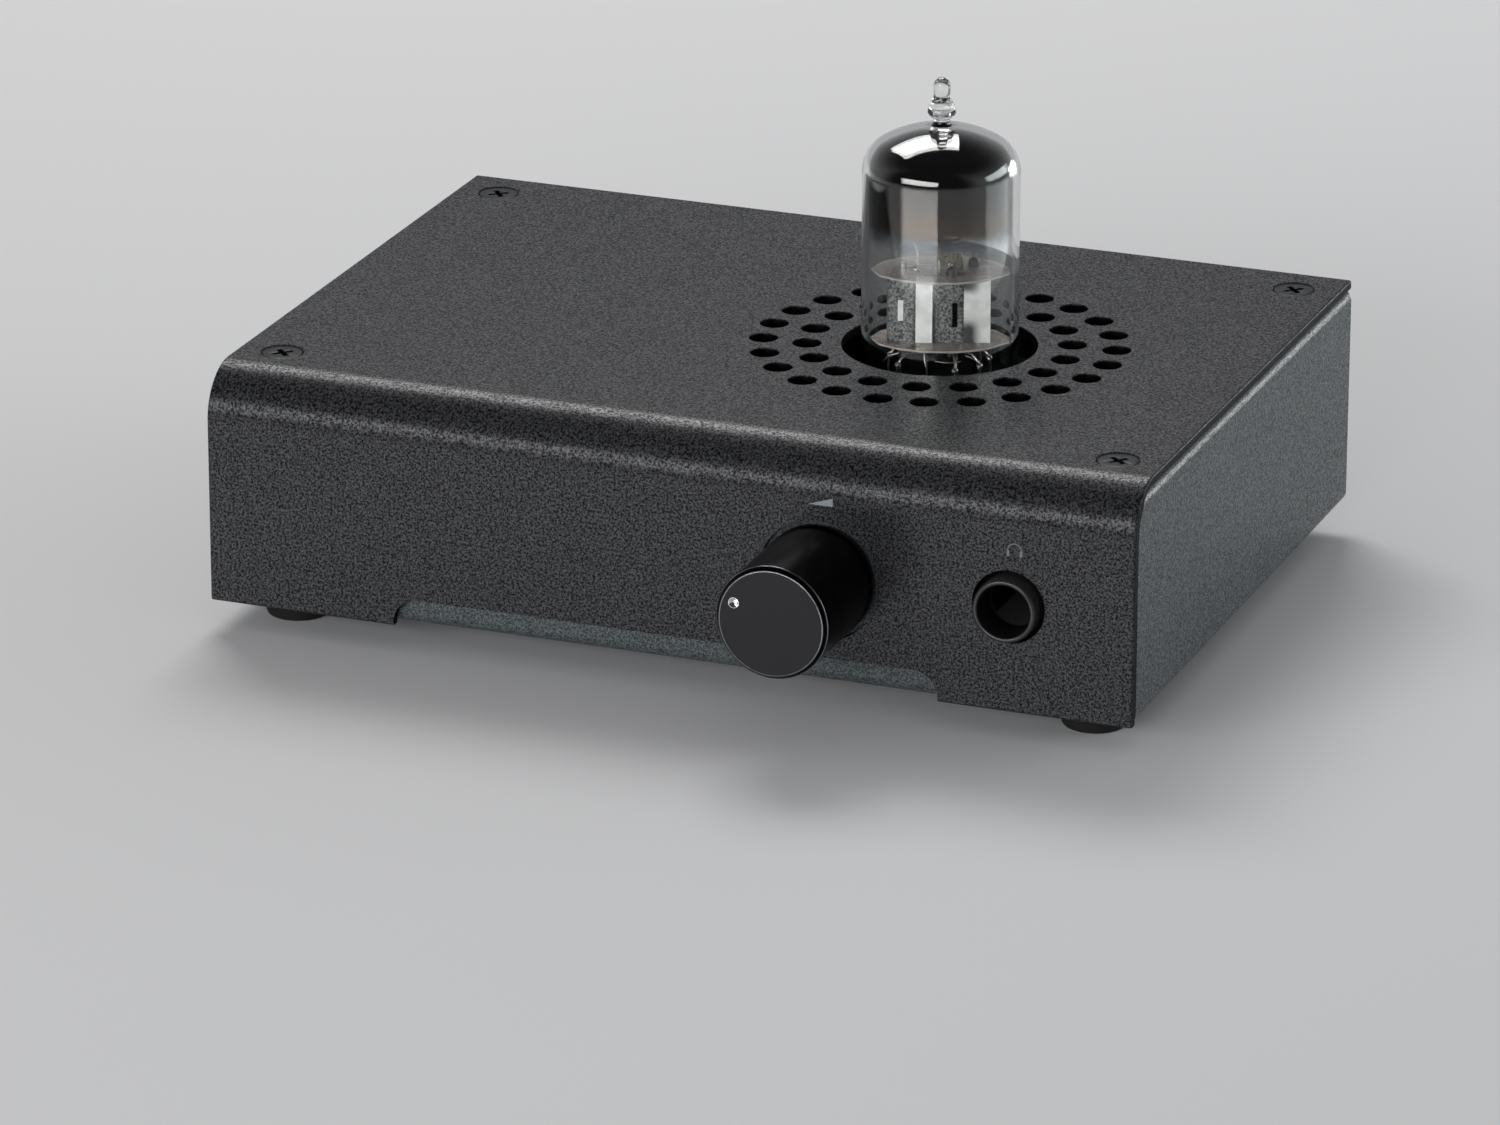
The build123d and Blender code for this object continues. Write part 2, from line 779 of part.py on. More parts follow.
with BuildPart(cage_plane) as tube_anodes:
    with Locations(*[(x, 0, cage_floor) for x in triodes]):
        Box(anode_width, anode_depth, cage_height, align=on_floor)
    fillet(tube_anodes.edges().filter_by(Axis.Z), anode_corner)
    with Locations(*[(x, 0, cage_floor) for x in triodes]):
        Box(
            anode_width - 2 * anode_sheet,
            anode_depth - 2 * anode_sheet,
            cage_height,
            align=on_floor,
            mode=Mode.SUBTRACT,
        )
    with Locations(*[(x, 0, cage_floor + cage_height / 2) for x in triodes]):
        Box(anode_slot_width, 2 * anode_depth, anode_slot_height, mode=Mode.SUBTRACT)
tube_anodes.part.label = "tube_anodes"
export_step(tube_anodes.part, "parts/tube_anodes.step")

with BuildPart(cage_plane) as tube_shield:
    with Locations((0, 0, cage_floor)):
        Box(shield_sheet, anode_depth + 2 * shield_margin, cage_height, align=on_floor)
tube_shield.part.label = "tube_shield"
export_step(tube_shield.part, "parts/tube_shield.step")

with BuildPart(cage_plane) as tube_cathodes:
    with Locations(*[(x, 0, lower_mica_z - rod_overhang) for x in triodes]):
        Cylinder(cathode_radius, cage_height + 2 * mica_sheet + 2 * rod_overhang, align=on_floor)
        Cylinder(
            cathode_radius - cathode_wall,
            cage_height + 2 * mica_sheet + 2 * rod_overhang,
            align=on_floor,
            mode=Mode.SUBTRACT,
        )
tube_cathodes.part.label = "tube_cathodes"
export_step(tube_cathodes.part, "parts/tube_cathodes.step")

with BuildPart(cage_plane) as tube_heaters:
    with Locations(*[(x, 0, lower_mica_z - 2 * rod_overhang) for x in triodes]):
        Cylinder(heater_radius, cage_height + 3 * rod_overhang, align=on_floor)
tube_heaters.part.label = "tube_heaters"
export_step(tube_heaters.part, "parts/tube_heaters.step")

with BuildPart(cage_plane) as tube_grids:
    # two rods for each triode, and turns of wire round them
    turn_length = 2 * (grid_rod_spread + grid_rod_radius)
    for x in triodes:
        with Locations(
            *[(x, y, lower_mica_z - rod_overhang) for y in (-grid_rod_spread, grid_rod_spread)]
        ):
            Cylinder(
                grid_rod_radius,
                cage_height + 2 * mica_sheet + 2 * rod_overhang,
                align=on_floor,
            )
        for i in range(grid_turns):
            z = cage_floor + cage_height * (i + 1) / (grid_turns + 1)
            with BuildSketch(cage_plane.offset(z)):
                with Locations((x, 0)):
                    SlotOverall(turn_length, 2 * grid_half_width, rotation=90)
                    SlotOverall(
                        turn_length - 2 * grid_wall,
                        2 * (grid_half_width - grid_wall),
                        rotation=90,
                        mode=Mode.SUBTRACT,
                    )
            extrude(amount=grid_wall)
tube_grids.part.label = "tube_grids"
export_step(tube_grids.part, "parts/tube_grids.step")

with BuildPart(cage_plane) as tube_getter:
    ring_z = upper_mica_z + mica_sheet + getter_lift
    with Locations((0, 0, ring_z)):
        Torus(getter_ring_radius, getter_wire)
    with Locations((0, getter_ring_radius, upper_mica_z + mica_sheet)):
        Cylinder(getter_post_radius, getter_lift, align=on_floor)
tube_getter.part.label = "tube_getter"
export_step(tube_getter.part, "parts/tube_getter.step")

# =========================== volume control ===========================

pointer = (cos(radians(pointer_angle)), sin(radians(pointer_angle)))
screw_y = knob_back - set_screw_back
set_screw_plane = Plane(
    origin=(knob_x, screw_y, control_z), x_dir=(0, 1, 0), z_dir=(pointer[0], 0, pointer[1])
)
at_control = (knob_x, control_z)

with BuildPart() as volume_knob:
    with BuildSketch(facing_front(knob_back)):
        with Locations(at_control):
            Circle(knob_radius)
    extrude(amount=knob_back - knob_face)
    chamfer(volume_knob.edges().filter_by(GeomType.CIRCLE).sort_by(Axis.Y)[0], knob_chamfer)
    with BuildSketch(facing_front(knob_back)):
        with Locations(at_control):
            Circle(knob_recess_radius)
    extrude(amount=knob_recess, mode=Mode.SUBTRACT)
    with BuildSketch(facing_front(knob_back)):
        with Locations(at_control):
            Circle(shaft_radius + thread_fit)
    extrude(amount=shaft_grip + shaft_end_room, mode=Mode.SUBTRACT)
    with BuildSketch(set_screw_plane):
        Circle(set_screw_radius + thread_fit)
    extrude(amount=2 * knob_radius, mode=Mode.SUBTRACT)
    # turned dimple that points out the setting
    with Locations(
        Plane(
            origin=(
                knob_x + dimple_from_axis * pointer[0],
                knob_face,
                control_z + dimple_from_axis * pointer[1],
            ),
            z_dir=(0, -1, 0),
        )
    ):
        Cone(dimple_floor, dimple_radius, 2 * dimple_depth, mode=Mode.SUBTRACT)
volume_knob.part.label = "volume_knob"
export_step(volume_knob.part, "parts/volume_knob.step")

with BuildPart() as knob_set_screw:
    with BuildSketch(set_screw_plane.offset(shaft_flat + thread_fit)):
        Circle(set_screw_radius)
    extrude(amount=set_screw_length)
    chamfer(knob_set_screw.edges().filter_by(GeomType.CIRCLE), set_screw_edge)
    with BuildSketch(set_screw_plane.offset(shaft_flat + thread_fit + set_screw_length)):
        RegularPolygon(hex_radius, 6)
    extrude(amount=-set_screw_length / 2, mode=Mode.SUBTRACT)
knob_set_screw.part.label = "knob_set_screw"
export_step(knob_set_screw.part, "parts/knob_set_screw.step")

with BuildPart() as pot_shaft:
    with BuildSketch(facing_front(shaft_end)):
        with Locations(at_control):
            Circle(shaft_radius)
    extrude(amount=shaft_end - shaft_tip)
    chamfer(pot_shaft.edges().filter_by(GeomType.CIRCLE).sort_by(Axis.Y)[0], shaft_edge)
    # flat of the D, towards the set screw
    with Locations(set_screw_plane.offset(shaft_flat)):
        Box(
            2 * shaft_grip - 2 * knob_recess,
            2 * shaft_radius,
            shaft_radius,
            align=on_floor,
            mode=Mode.SUBTRACT,
        )
pot_shaft.part.label = "pot_shaft"
export_step(pot_shaft.part, "parts/pot_shaft.step")

with BuildPart() as pot_wiper:
    with BuildSketch(facing_front(shaft_end + wiper_sheet)):
        with Locations(at_control):
            Circle(wiper_radius)
    extrude(amount=wiper_sheet)
pot_wiper.part.label = "pot_wiper"
export_step(pot_wiper.part, "parts/pot_wiper.step")

with BuildPart() as pot_bushing:
    with BuildSketch(facing_front(pot_front)):
        with Locations((knob_x, board_top)):
            Rectangle(pot_width, pot_height, align=(Align.CENTER, Align.MIN))
    extrude(amount=pot_plate)
    with BuildSketch(facing_front(pot_front - pot_plate)):
        with Locations(at_control):
            Circle(bushing_radius)
    extrude(amount=pot_front - pot_plate - front_y + bushing_stick_out)
    with BuildSketch(facing_front(pot_front)):
        with Locations(at_control):
            Circle(shaft_radius + shaft_fit)
    extrude(amount=2 * knob_reach, mode=Mode.SUBTRACT)
pot_bushing.part.label = "pot_bushing"
export_step(pot_bushing.part, "parts/pot_bushing.step")

with BuildPart() as pot_body:
    with BuildSketch(facing_front(pot_front + pot_depth)):
        with Locations((knob_x, board_top)):
            Rectangle(pot_width, pot_height, align=(Align.CENTER, Align.MIN))
    extrude(amount=pot_depth)
    with BuildSketch(facing_front(shaft_end + wiper_sheet + wiper_room)):
        with Locations(at_control):
            Circle(wiper_radius + wiper_room)
    extrude(amount=wiper_sheet + 2 * wiper_room, mode=Mode.SUBTRACT)
    with BuildSketch(facing_front(pot_front + pot_wall)):
        with Locations(at_control):
            Circle(shaft_radius + 2 * shaft_fit)
    extrude(amount=pot_wall, mode=Mode.SUBTRACT)
pot_body.part.label = "pot_body"
export_step(pot_body.part, "parts/pot_body.step")

# =========================== headphone socket ===========================

at_jack = (jack_x, control_z)
strip_depth = jack_bore_radius + jack_strip_wall  # contact strips, out from the bore's axis
strip_planes = [
    Plane(
        origin=(jack_x + s * strip_depth, jack_front + jack_length / 2, control_z),
        x_dir=(0, 1, 0),
        z_dir=(s, 0, 0),
    )
    for s in (-1, 1)
]

with BuildPart() as headphone_jack_body:
    with BuildSketch(facing_front(jack_front + jack_length)):
        with Locations((jack_x, board_top)):
            Rectangle(jack_width, jack_height, align=(Align.CENTER, Align.MIN))
    extrude(amount=jack_length)
    fillet(headphone_jack_body.edges().filter_by(Axis.Y).group_by(Axis.Z)[-1], jack_edge)
    with BuildSketch(facing_front(jack_front + jack_length - jack_end_wall)):
        with Locations(at_jack):
            Circle(jack_bore_radius)
    extrude(amount=jack_length, mode=Mode.SUBTRACT)
    # window on each side for a contact strip
    with Locations(*strip_planes):
        Box(
            jack_strip_length + 2 * jack_strip,
            jack_strip_width + 2 * jack_strip,
            jack_width,
            align=on_floor,
            mode=Mode.SUBTRACT,
        )
headphone_jack_body.part.label = "headphone_jack_body"
export_step(headphone_jack_body.part, "parts/headphone_jack_body.step")

with BuildPart() as headphone_jack_nose:
    with BuildSketch(facing_front(jack_front)):
        with Locations(at_jack):
            Circle(jack_nose_radius)
            Circle(jack_nose_bore_radius, mode=Mode.SUBTRACT)
    extrude(amount=jack_front - front_y + jack_nose_reach)
    mouth = headphone_jack_nose.faces().sort_by(Axis.Y)[0]
    chamfer(mouth.edges(), jack_mouth)
headphone_jack_nose.part.label = "headphone_jack_nose"
export_step(headphone_jack_nose.part, "parts/headphone_jack_nose.step")

with BuildPart() as headphone_jack_contacts:
    tail_reach = jack_width / 2 - strip_depth  # out to the side of the housing
    for plane in strip_planes:
        with Locations(plane):
            Box(jack_strip_length, jack_strip_width, jack_strip, align=on_floor)
        with Locations(plane * Location((jack_strip_length / 2, 0, 0))):
            Box(
                jack_strip,
                jack_strip_width,
                tail_reach + jack_strip,
                align=(Align.MAX, Align.CENTER, Align.MIN),
            )
    # legs down the sides of the housing to the board
    leg_top = control_z + jack_strip_width / 2
    leg_y = jack_front + (jack_length + jack_strip_length) / 2
    for s in (-1, 1):
        with Locations((jack_x + s * (jack_width + jack_strip) / 2, leg_y, board_top)):
            Box(
                jack_strip,
                jack_strip_width,
                leg_top - board_top,
                align=(Align.CENTER, Align.MAX, Align.MIN),
            )
headphone_jack_contacts.part.label = "headphone_jack_contacts"
export_step(headphone_jack_contacts.part, "parts/headphone_jack_contacts.step")

# =========================== phono sockets ===========================

phono_barrel_bore = phono_barrel_radius - phono_barrel_wall
barrel_root = rear_y + phono_collar_reach
barrel_tip = rear_y + plug_reach
core_tip = barrel_tip - phono_core_recess

for side, x in (("input", input_x), ("output", output_x)):
    with BuildPart() as phono_block:
        with BuildSketch(facing_front(phono_face)):
            with Locations((x, board_top)):
                Rectangle(
                    phono_pitch + 2 * phono_block_margin,
                    phono_block_height,
                    align=(Align.CENTER, Align.MIN),
                )
        extrude(amount=phono_block_depth)
        fillet(phono_block.edges().filter_by(Axis.Y).group_by(Axis.Z)[-1], phono_block_edge)
    phono_block.part.label = f"{side}_jack_block"
    export_step(phono_block.part, f"parts/{side}_jack_block.step")

    # seen from behind, the left channel is on the left
    for channel, s in (("left", 1), ("right", -1)):
        at_phono = (x + s * phono_pitch / 2, phono_z)
        with BuildPart() as insulator:
            with BuildSketch(facing_front(phono_face)):
                with Locations(at_phono):
                    Circle(phono_collar_radius)
            extrude(amount=phono_face - barrel_root)
            chamfer(insulator.edges().sort_by(Axis.Y)[-1], phono_collar_edge)
            with BuildSketch(facing_front(barrel_root)):
                with Locations(at_phono):
                    Circle(phono_barrel_bore - phono_core_fit)
            extrude(amount=barrel_root - core_tip)
            with BuildSketch(facing_front(phono_face)):
                with Locations(at_phono):
                    Circle(phono_pin_radius + phono_pin_wall + thread_fit)
            extrude(amount=phono_face - core_tip, mode=Mode.SUBTRACT)
        insulator.part.label = f"{side}_{channel}_insulator"
        export_step(insulator.part, f"parts/{side}_{channel}_insulator.step")

        with BuildPart() as barrel:
            with BuildSketch(facing_front(barrel_root)):
                with Locations(at_phono):
                    Circle(phono_barrel_radius)
                    Circle(phono_barrel_bore, mode=Mode.SUBTRACT)
            extrude(amount=barrel_root - barrel_tip)
            chamfer(barrel.faces().sort_by(Axis.Y)[-1].edges(), phono_barrel_edge)
        barrel.part.label = f"{side}_{channel}_barrel"
        export_step(barrel.part, f"parts/{side}_{channel}_barrel.step")

        with BuildPart() as contact:
            with BuildSketch(facing_front(phono_face)):
                with Locations(at_phono):
                    Circle(phono_pin_radius + phono_pin_wall)
                    Circle(phono_pin_radius, mode=Mode.SUBTRACT)
            extrude(amount=phono_face - core_tip + phono_pin_reach)
        contact.part.label = f"{side}_{channel}_contact"
        export_step(contact.part, f"parts/{side}_{channel}_contact.step")

# =========================== power inlet ===========================

at_inlet = (inlet_x, inlet_z)
inlet_mouth = rear_y + inlet_nose_reach

with BuildPart() as power_inlet_body:
    with BuildSketch(facing_front(phono_face)):
        with Locations((inlet_x, board_top)):
            Rectangle(inlet_width, inlet_height, align=(Align.CENTER, Align.MIN))
    extrude(amount=inlet_depth)
    with BuildSketch(facing_front(phono_face)):
        with Locations(at_inlet):
            Circle(inlet_nose_radius)
    extrude(amount=phono_face - inlet_mouth)
    with BuildSketch(facing_front(inlet_mouth)):
        with Locations(at_inlet):
            Circle(inlet_bore_radius)
    extrude(amount=inlet_bore_depth, mode=Mode.SUBTRACT)
    chamfer(power_inlet_body.faces().sort_by(Axis.Y)[-1].edges(), inlet_mouth_edge)
power_inlet_body.part.label = "power_inlet_body"
export_step(power_inlet_body.part, "parts/power_inlet_body.step")

with BuildPart() as power_inlet_pin:
    with BuildSketch(facing_front(inlet_mouth - inlet_bore_depth)):
        with Locations(at_inlet):
            Circle(inlet_pin_radius)
    extrude(amount=inlet_pin_recess - inlet_bore_depth)
    fillet(power_inlet_pin.edges().sort_by(Axis.Y)[-1], inlet_pin_edge)
power_inlet_pin.part.label = "power_inlet_pin"
export_step(power_inlet_pin.part, "parts/power_inlet_pin.step")

# =========================== toggle switches ===========================

lever_reach = rear_y + plug_reach - pivot_y

for name, x in (("gain", gain_switch_x), ("power", power_switch_x)):
    at_switch = (x, switch_z)
    with BuildPart() as switch_body:
        with BuildSketch(facing_front(phono_face)):
            with Locations((x, board_top)):
                Rectangle(switch_width, switch_height, align=(Align.CENTER, Align.MIN))
        extrude(amount=switch_depth)
        with BuildSketch(facing_front(phono_face)):
            with Locations(at_switch):
                Circle(switch_well_radius)
        extrude(amount=switch_well_depth, mode=Mode.SUBTRACT)
    switch_body.part.label = f"{name}_switch_body"
    export_step(switch_body.part, f"parts/{name}_switch_body.step")

    with BuildPart() as bushing:
        with BuildSketch(facing_front(phono_face)):
            with Locations(at_switch):
                Circle(switch_bushing_radius)
                Circle(switch_bushing_bore, mode=Mode.SUBTRACT)
        extrude(amount=phono_face - bushing_mouth)
        rim = bushing.faces().sort_by(Axis.Y)[-1].edges().sort_by(SortBy.LENGTH)[-1]
        chamfer(rim, switch_bushing_edge)
    bushing.part.label = f"{name}_switch_bushing"
    export_step(bushing.part, f"parts/{name}_switch_bushing.step")

    # the lever rests in its lower position
    lever_plane = Plane(
        origin=(x, pivot_y, switch_z),
        x_dir=(1, 0, 0),
        z_dir=(0, cos(radians(switch_throw)), -sin(radians(switch_throw))),
    )
    with BuildPart() as lever:
        with Locations(lever_plane):
            Sphere(switch_ball_radius)
            Cone(switch_neck_radius, switch_tip_radius, lever_reach, align=on_floor)
        tip = lever.edges().filter_by(GeomType.CIRCLE).sort_by(Axis.Y)[-1]
        fillet(tip, switch_tip_rounding)
        with Locations(lever_plane):
            Cylinder(
                switch_tail_radius,
                switch_tail_length,
                align=(Align.CENTER, Align.CENTER, Align.MAX),
            )
    lever.part.label = f"{name}_switch_lever"
    export_step(lever.part, f"parts/{name}_switch_lever.step")

# =========================== parts on the board ===========================


def on_board(right, front=None, rear=None, height=0.0):
    """Point above the board, from its right edge and from its front or its rear edge."""
    y = board_front + front if rear is None else board_rear - rear
    return (board_width / 2 - right, y, board_top + height)


with BuildPart() as reservoir_capacitors:
    # columns from the right, as many as the board's width holds
    bank_right = reservoir_right + (reservoir_column_count - 1) * reservoir_pitch / 2
    with Locations(on_board(bank_right, front=reservoir_front)):
        with GridLocations(
            reservoir_pitch, reservoir_pitch, reservoir_column_count, reservoir_row_count
        ):
            Cylinder(reservoir_radius, reservoir_height, align=on_floor)
    fillet(reservoir_capacitors.edges().filter_by(GeomType.CIRCLE), reservoir_edge)
reservoir_capacitors.part.label = "reservoir_capacitors"
export_step(reservoir_capacitors.part, "parts/reservoir_capacitors.step")

with BuildPart() as small_capacitors:
    with Locations(on_board(small_cap_right, front=small_cap_front)):
        with GridLocations(small_cap_pitch, small_cap_pitch, 2, 2):
            Cylinder(small_cap_radius, small_cap_height, align=on_floor)
    fillet(small_capacitors.edges().filter_by(GeomType.CIRCLE), small_cap_edge)
small_capacitors.part.label = "small_capacitors"
export_step(small_capacitors.part, "parts/small_capacitors.step")

with BuildPart() as film_capacitors:
    with Locations(on_board(film_cap_right, front=film_cap_front)):
        with GridLocations(film_cap_pitch, film_cap_pitch, 1, film_cap_count):
            Box(*film_cap_size, align=on_floor)
    fillet(film_capacitors.edges().filter_by(Axis.Z), film_cap_edge)
film_capacitors.part.label = "film_capacitors"
export_step(film_capacitors.part, "parts/film_capacitors.step")

with BuildPart() as mute_relay:
    with Locations(on_board(relay_right, rear=relay_rear)):
        Box(*relay_size, align=on_floor)
    fillet(mute_relay.edges().filter_by(Axis.Z), relay_edge)
mute_relay.part.label = "mute_relay"
export_step(mute_relay.part, "parts/mute_relay.step")

back_to_front = (Align.CENTER, Align.MAX, Align.MIN)
front_to_back = (Align.CENTER, Align.MIN, Align.MIN)
first_sink = jack_front + jack_length + regulator_gap + regulator_body[1] - board_front
sink_fronts = [first_sink + i * heatsink_pitch for i in range(2)]

with BuildPart() as heatsinks:
    with Locations(*[on_board(heatsink_right, front=y) for y in sink_fronts]):
        Box(heatsink_width, heatsink_base, heatsink_height, align=front_to_back)
        fin_spread = (heatsink_width - heatsink_fin) / (heatsink_fin_count - 1)
        with GridLocations(fin_spread, heatsink_pitch, heatsink_fin_count, 1):
            Box(heatsink_fin, heatsink_depth, heatsink_height, align=front_to_back)
heatsinks.part.label = "heatsinks"
export_step(heatsinks.part, "parts/heatsinks.step")

with BuildPart() as voltage_regulators:
    with Locations(
        *[on_board(heatsink_right, front=y, height=regulator_lift) for y in sink_fronts]
    ):
        Box(*regulator_tab, align=back_to_front)
        Box(*regulator_body, align=back_to_front)
    with Locations(
        *[on_board(heatsink_right, front=y - regulator_tab[1]) for y in sink_fronts]
    ):
        with GridLocations(leg_pitch, leg_pitch, 3, 1):
            Cylinder(component_leg, regulator_lift, align=on_floor)
voltage_regulators.part.label = "voltage_regulators"
export_step(voltage_regulators.part, "parts/voltage_regulators.step")

with BuildPart() as output_transistors:
    with Locations(on_board(transistor_right, rear=transistor_rear)):
        with GridLocations(transistor_pitch, transistor_pitch, transistor_count, 1):
            with Locations((0, 0, transistor_lift)):
                Box(*transistor_size, align=on_floor)
            with GridLocations(leg_pitch, leg_pitch, 3, 1):
                Cylinder(component_leg, transistor_lift, align=on_floor)
output_transistors.part.label = "output_transistors"
export_step(output_transistors.part, "parts/output_transistors.step")

with BuildPart() as rectifier_diodes:
    with Locations(on_board(diode_right, rear=diode_rear, height=diode_radius)):
        with GridLocations(diode_pitch, diode_pitch, diode_count, 1):
            Cylinder(diode_radius, diode_length, rotation=(90, 0, 0))
rectifier_diodes.part.label = "rectifier_diodes"
export_step(rectifier_diodes.part, "parts/rectifier_diodes.step")

with BuildPart() as resistors:
    with Locations(on_board(resistor_right, front=resistor_front, height=resistor_radius)):
        with GridLocations(
            resistor_column_pitch, resistor_row_pitch, resistor_column_count, resistor_row_count
        ):
            Cylinder(resistor_radius, resistor_length, rotation=(0, 90, 0))
            Cylinder(resistor_wire, resistor_span, rotation=(0, 90, 0))
            with GridLocations(resistor_span - 2 * resistor_wire, resistor_span, 2, 1):
                Cylinder(
                    resistor_wire,
                    resistor_radius,
                    align=(Align.CENTER, Align.CENTER, Align.MAX),
                )
resistors.part.label = "resistors"
export_step(resistors.part, "parts/resistors.step")
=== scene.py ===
from math import atan2, cos, hypot, pi, radians, sin, sqrt

import bpy
from mathutils import Matrix, Vector


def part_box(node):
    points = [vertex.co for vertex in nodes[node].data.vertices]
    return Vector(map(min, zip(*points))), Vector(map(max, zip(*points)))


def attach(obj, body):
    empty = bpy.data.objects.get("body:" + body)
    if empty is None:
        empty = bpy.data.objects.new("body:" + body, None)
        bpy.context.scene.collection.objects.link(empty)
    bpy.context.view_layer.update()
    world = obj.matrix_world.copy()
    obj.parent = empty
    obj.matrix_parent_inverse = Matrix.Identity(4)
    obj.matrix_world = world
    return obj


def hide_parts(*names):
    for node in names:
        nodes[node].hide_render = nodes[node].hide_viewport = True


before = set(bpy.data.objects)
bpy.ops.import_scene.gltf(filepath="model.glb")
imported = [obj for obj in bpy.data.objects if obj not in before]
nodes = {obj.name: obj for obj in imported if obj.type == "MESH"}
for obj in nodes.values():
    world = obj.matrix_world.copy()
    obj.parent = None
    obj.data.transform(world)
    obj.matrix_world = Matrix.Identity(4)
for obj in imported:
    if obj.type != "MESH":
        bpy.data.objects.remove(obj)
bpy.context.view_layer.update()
mm = 0.001
print("frame loaded,", len(nodes), "nodes")


# places read from the frame, in millimetres

def nodeBox(node):
    low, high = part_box(node)
    return low / mm, high / mm


def nodeMiddle(node):
    low, high = nodeBox(node)
    return (low + high) / 2


# modelling helpers

def addObject(name, data):
    piece = bpy.data.objects.new(name, data)
    bpy.context.scene.collection.objects.link(piece)
    return piece


def pick(*pieces):
    # selects these pieces alone, the last one active
    bpy.ops.object.select_all(action="DESELECT")
    for piece in pieces:
        piece.select_set(True)
    bpy.context.view_layer.objects.active = pieces[-1]


def editAll(piece):
    pick(piece)
    bpy.ops.object.mode_set(mode="EDIT")
    bpy.ops.mesh.select_all(action="SELECT")


def leaveEdit():
    bpy.ops.object.mode_set(mode="OBJECT")


def closeUp(nearer=0.0, inside=False):
    # in edit mode: merges points nearer than this, turns the faces outwards, or inwards, and leaves
    bpy.ops.mesh.select_all(action="SELECT")
    if nearer:
        bpy.ops.mesh.remove_doubles(threshold=nearer * mm)
    bpy.ops.mesh.normals_make_consistent(inside=inside)
    leaveEdit()


def selectWhere(piece, kind, test):
    # goes into edit mode with the edges or polygons that pass the test selected
    mesh = piece.data
    for part in (*mesh.vertices, *mesh.edges, *mesh.polygons):
        part.select = False
    for part in getattr(mesh, kind):
        part.select = test(part)
        for i in part.vertices:
            mesh.vertices[i].select |= part.select
    pick(piece)
    bpy.context.tool_settings.mesh_select_mode = (False, kind == "edges", kind == "polygons")
    bpy.ops.object.mode_set(mode="EDIT")


def settle(piece):
    # the object goes to the origin and its place into its mesh
    pick(piece)
    bpy.ops.object.transform_apply(location=True, rotation=True, scale=True)
    return piece


def moved(piece, matrix):
    # moves the mesh itself, lengths in millimetres
    scaled = matrix.copy()
    scaled.translation *= mm
    piece.data.transform(scaled)
    piece.data.update()
    return piece


def applyModifier(piece, kind, **settings):
    pick(piece)
    modifier = piece.modifiers.new(kind.title(), kind)
    for key, value in settings.items():
        setattr(modifier, key, value)
    bpy.ops.object.modifier_apply(modifier=modifier.name)
    return piece


def smooth(piece, angle=40, flatten=True):
    # smooth shading that keeps edges over the angle, and keeps wide faces flat
    pick(piece)
    bpy.ops.object.shade_smooth_by_angle(angle=radians(angle))
    if flatten:
        applyModifier(piece, "WEIGHTED_NORMAL", keep_sharp=True)
    return piece


def roundEdges(piece, width, segments=2, angle=40):
    limits = {"limit_method": "ANGLE", "angle_limit": radians(angle), "miter_outer": "MITER_ARC"}
    return applyModifier(piece, "BEVEL", width=width * mm, segments=segments, **limits)


def roundWhere(piece, test, radius, segments):
    # rounds only the edges whose two ends, in millimetres, pass the test
    points = [vertex.co / mm for vertex in piece.data.vertices]
    selectWhere(piece, "edges", lambda edge: test(*[points[i] for i in edge.vertices]))
    bpy.ops.mesh.bevel(offset=radius * mm, segments=segments, profile=0.5, affect="EDGES")
    closeUp()


def roundBars(piece, axis, radius, segments=12):
    # rounds the four edges of a box that run along the axis
    across = [i for i in range(3) if "XYZ"[i] != axis]
    roundWhere(piece, lambda a, b: max(abs(b[i] - a[i]) for i in across) < 0.001, radius, segments)


def combined(piece, other, operation="DIFFERENCE", keepFinish=False):
    # boolean with another piece, which is used up
    finishes = "TRANSFER" if keepFinish else "INDEX"
    applyModifier(
        piece, "BOOLEAN", operation=operation, solver="EXACT", object=other, material_mode=finishes
    )
    bpy.data.objects.remove(other)
    return piece


def copied(model, place):
    return moved(addObject(model.name, model.data.copy()), place)


def joinPieces(name, pieces):
    pick(*pieces)
    if len(pieces) > 1:
        bpy.ops.object.join()
    joined = bpy.context.view_layer.objects.active
    joined.name = name
    joined.data.name = name
    return settle(joined)


def addPrimitive(name, shape, **settings):
    bpy.ops.object.select_all(action="DESELECT")
    getattr(bpy.ops.mesh, "primitive_" + shape + "_add")(**settings)
    piece = bpy.context.active_object
    piece.name = name
    return piece


def boxPiece(name, low, high):
    low, high = Vector(low) * mm, Vector(high) * mm
    piece = addPrimitive(name, "cube", size=1, location=(low + high) / 2)
    piece.scale = high - low
    return settle(piece)


def rodPiece(name, radius, start, end, sides=24):
    # straight round bar from start to end
    start, end = Vector(start), Vector(end)
    along = end - start
    size = {"vertices": sides, "radius": radius * mm, "depth": along.length * mm}
    piece = addPrimitive(name, "cylinder", **size)
    turn = along.to_track_quat("Z", "Y").to_matrix().to_4x4()
    return moved(piece, Matrix.Translation((start + end) / 2) @ turn)


def meshPiece(name, points, edges, faces):
    # new mesh from points in millimetres, left in edit mode
    mesh = bpy.data.meshes.new(name)
    mesh.from_pydata([(x * mm, y * mm, z * mm) for x, y, z in points], edges, faces)
    piece = addObject(name, mesh)
    editAll(piece)
    return piece


def facePiece(name, points):
    # one flat face round the points, left in edit mode
    return meshPiece(name, points, [], [range(len(points))])


def turned(name, outline, steps, place=None, inside=False):
    # spins an outline of (radius, height) points about Z, and puts the piece in its place
    edges = [(i, i + 1) for i in range(len(outline) - 1)]
    piece = meshPiece(name, [(radius, 0, height) for radius, height in outline], edges, [])
    bpy.ops.mesh.spin(steps=steps, angle=2 * pi, center=(0, 0, 0), axis=(0, 0, 1))
    closeUp(0.001, inside)
    return moved(piece, place) if place else piece


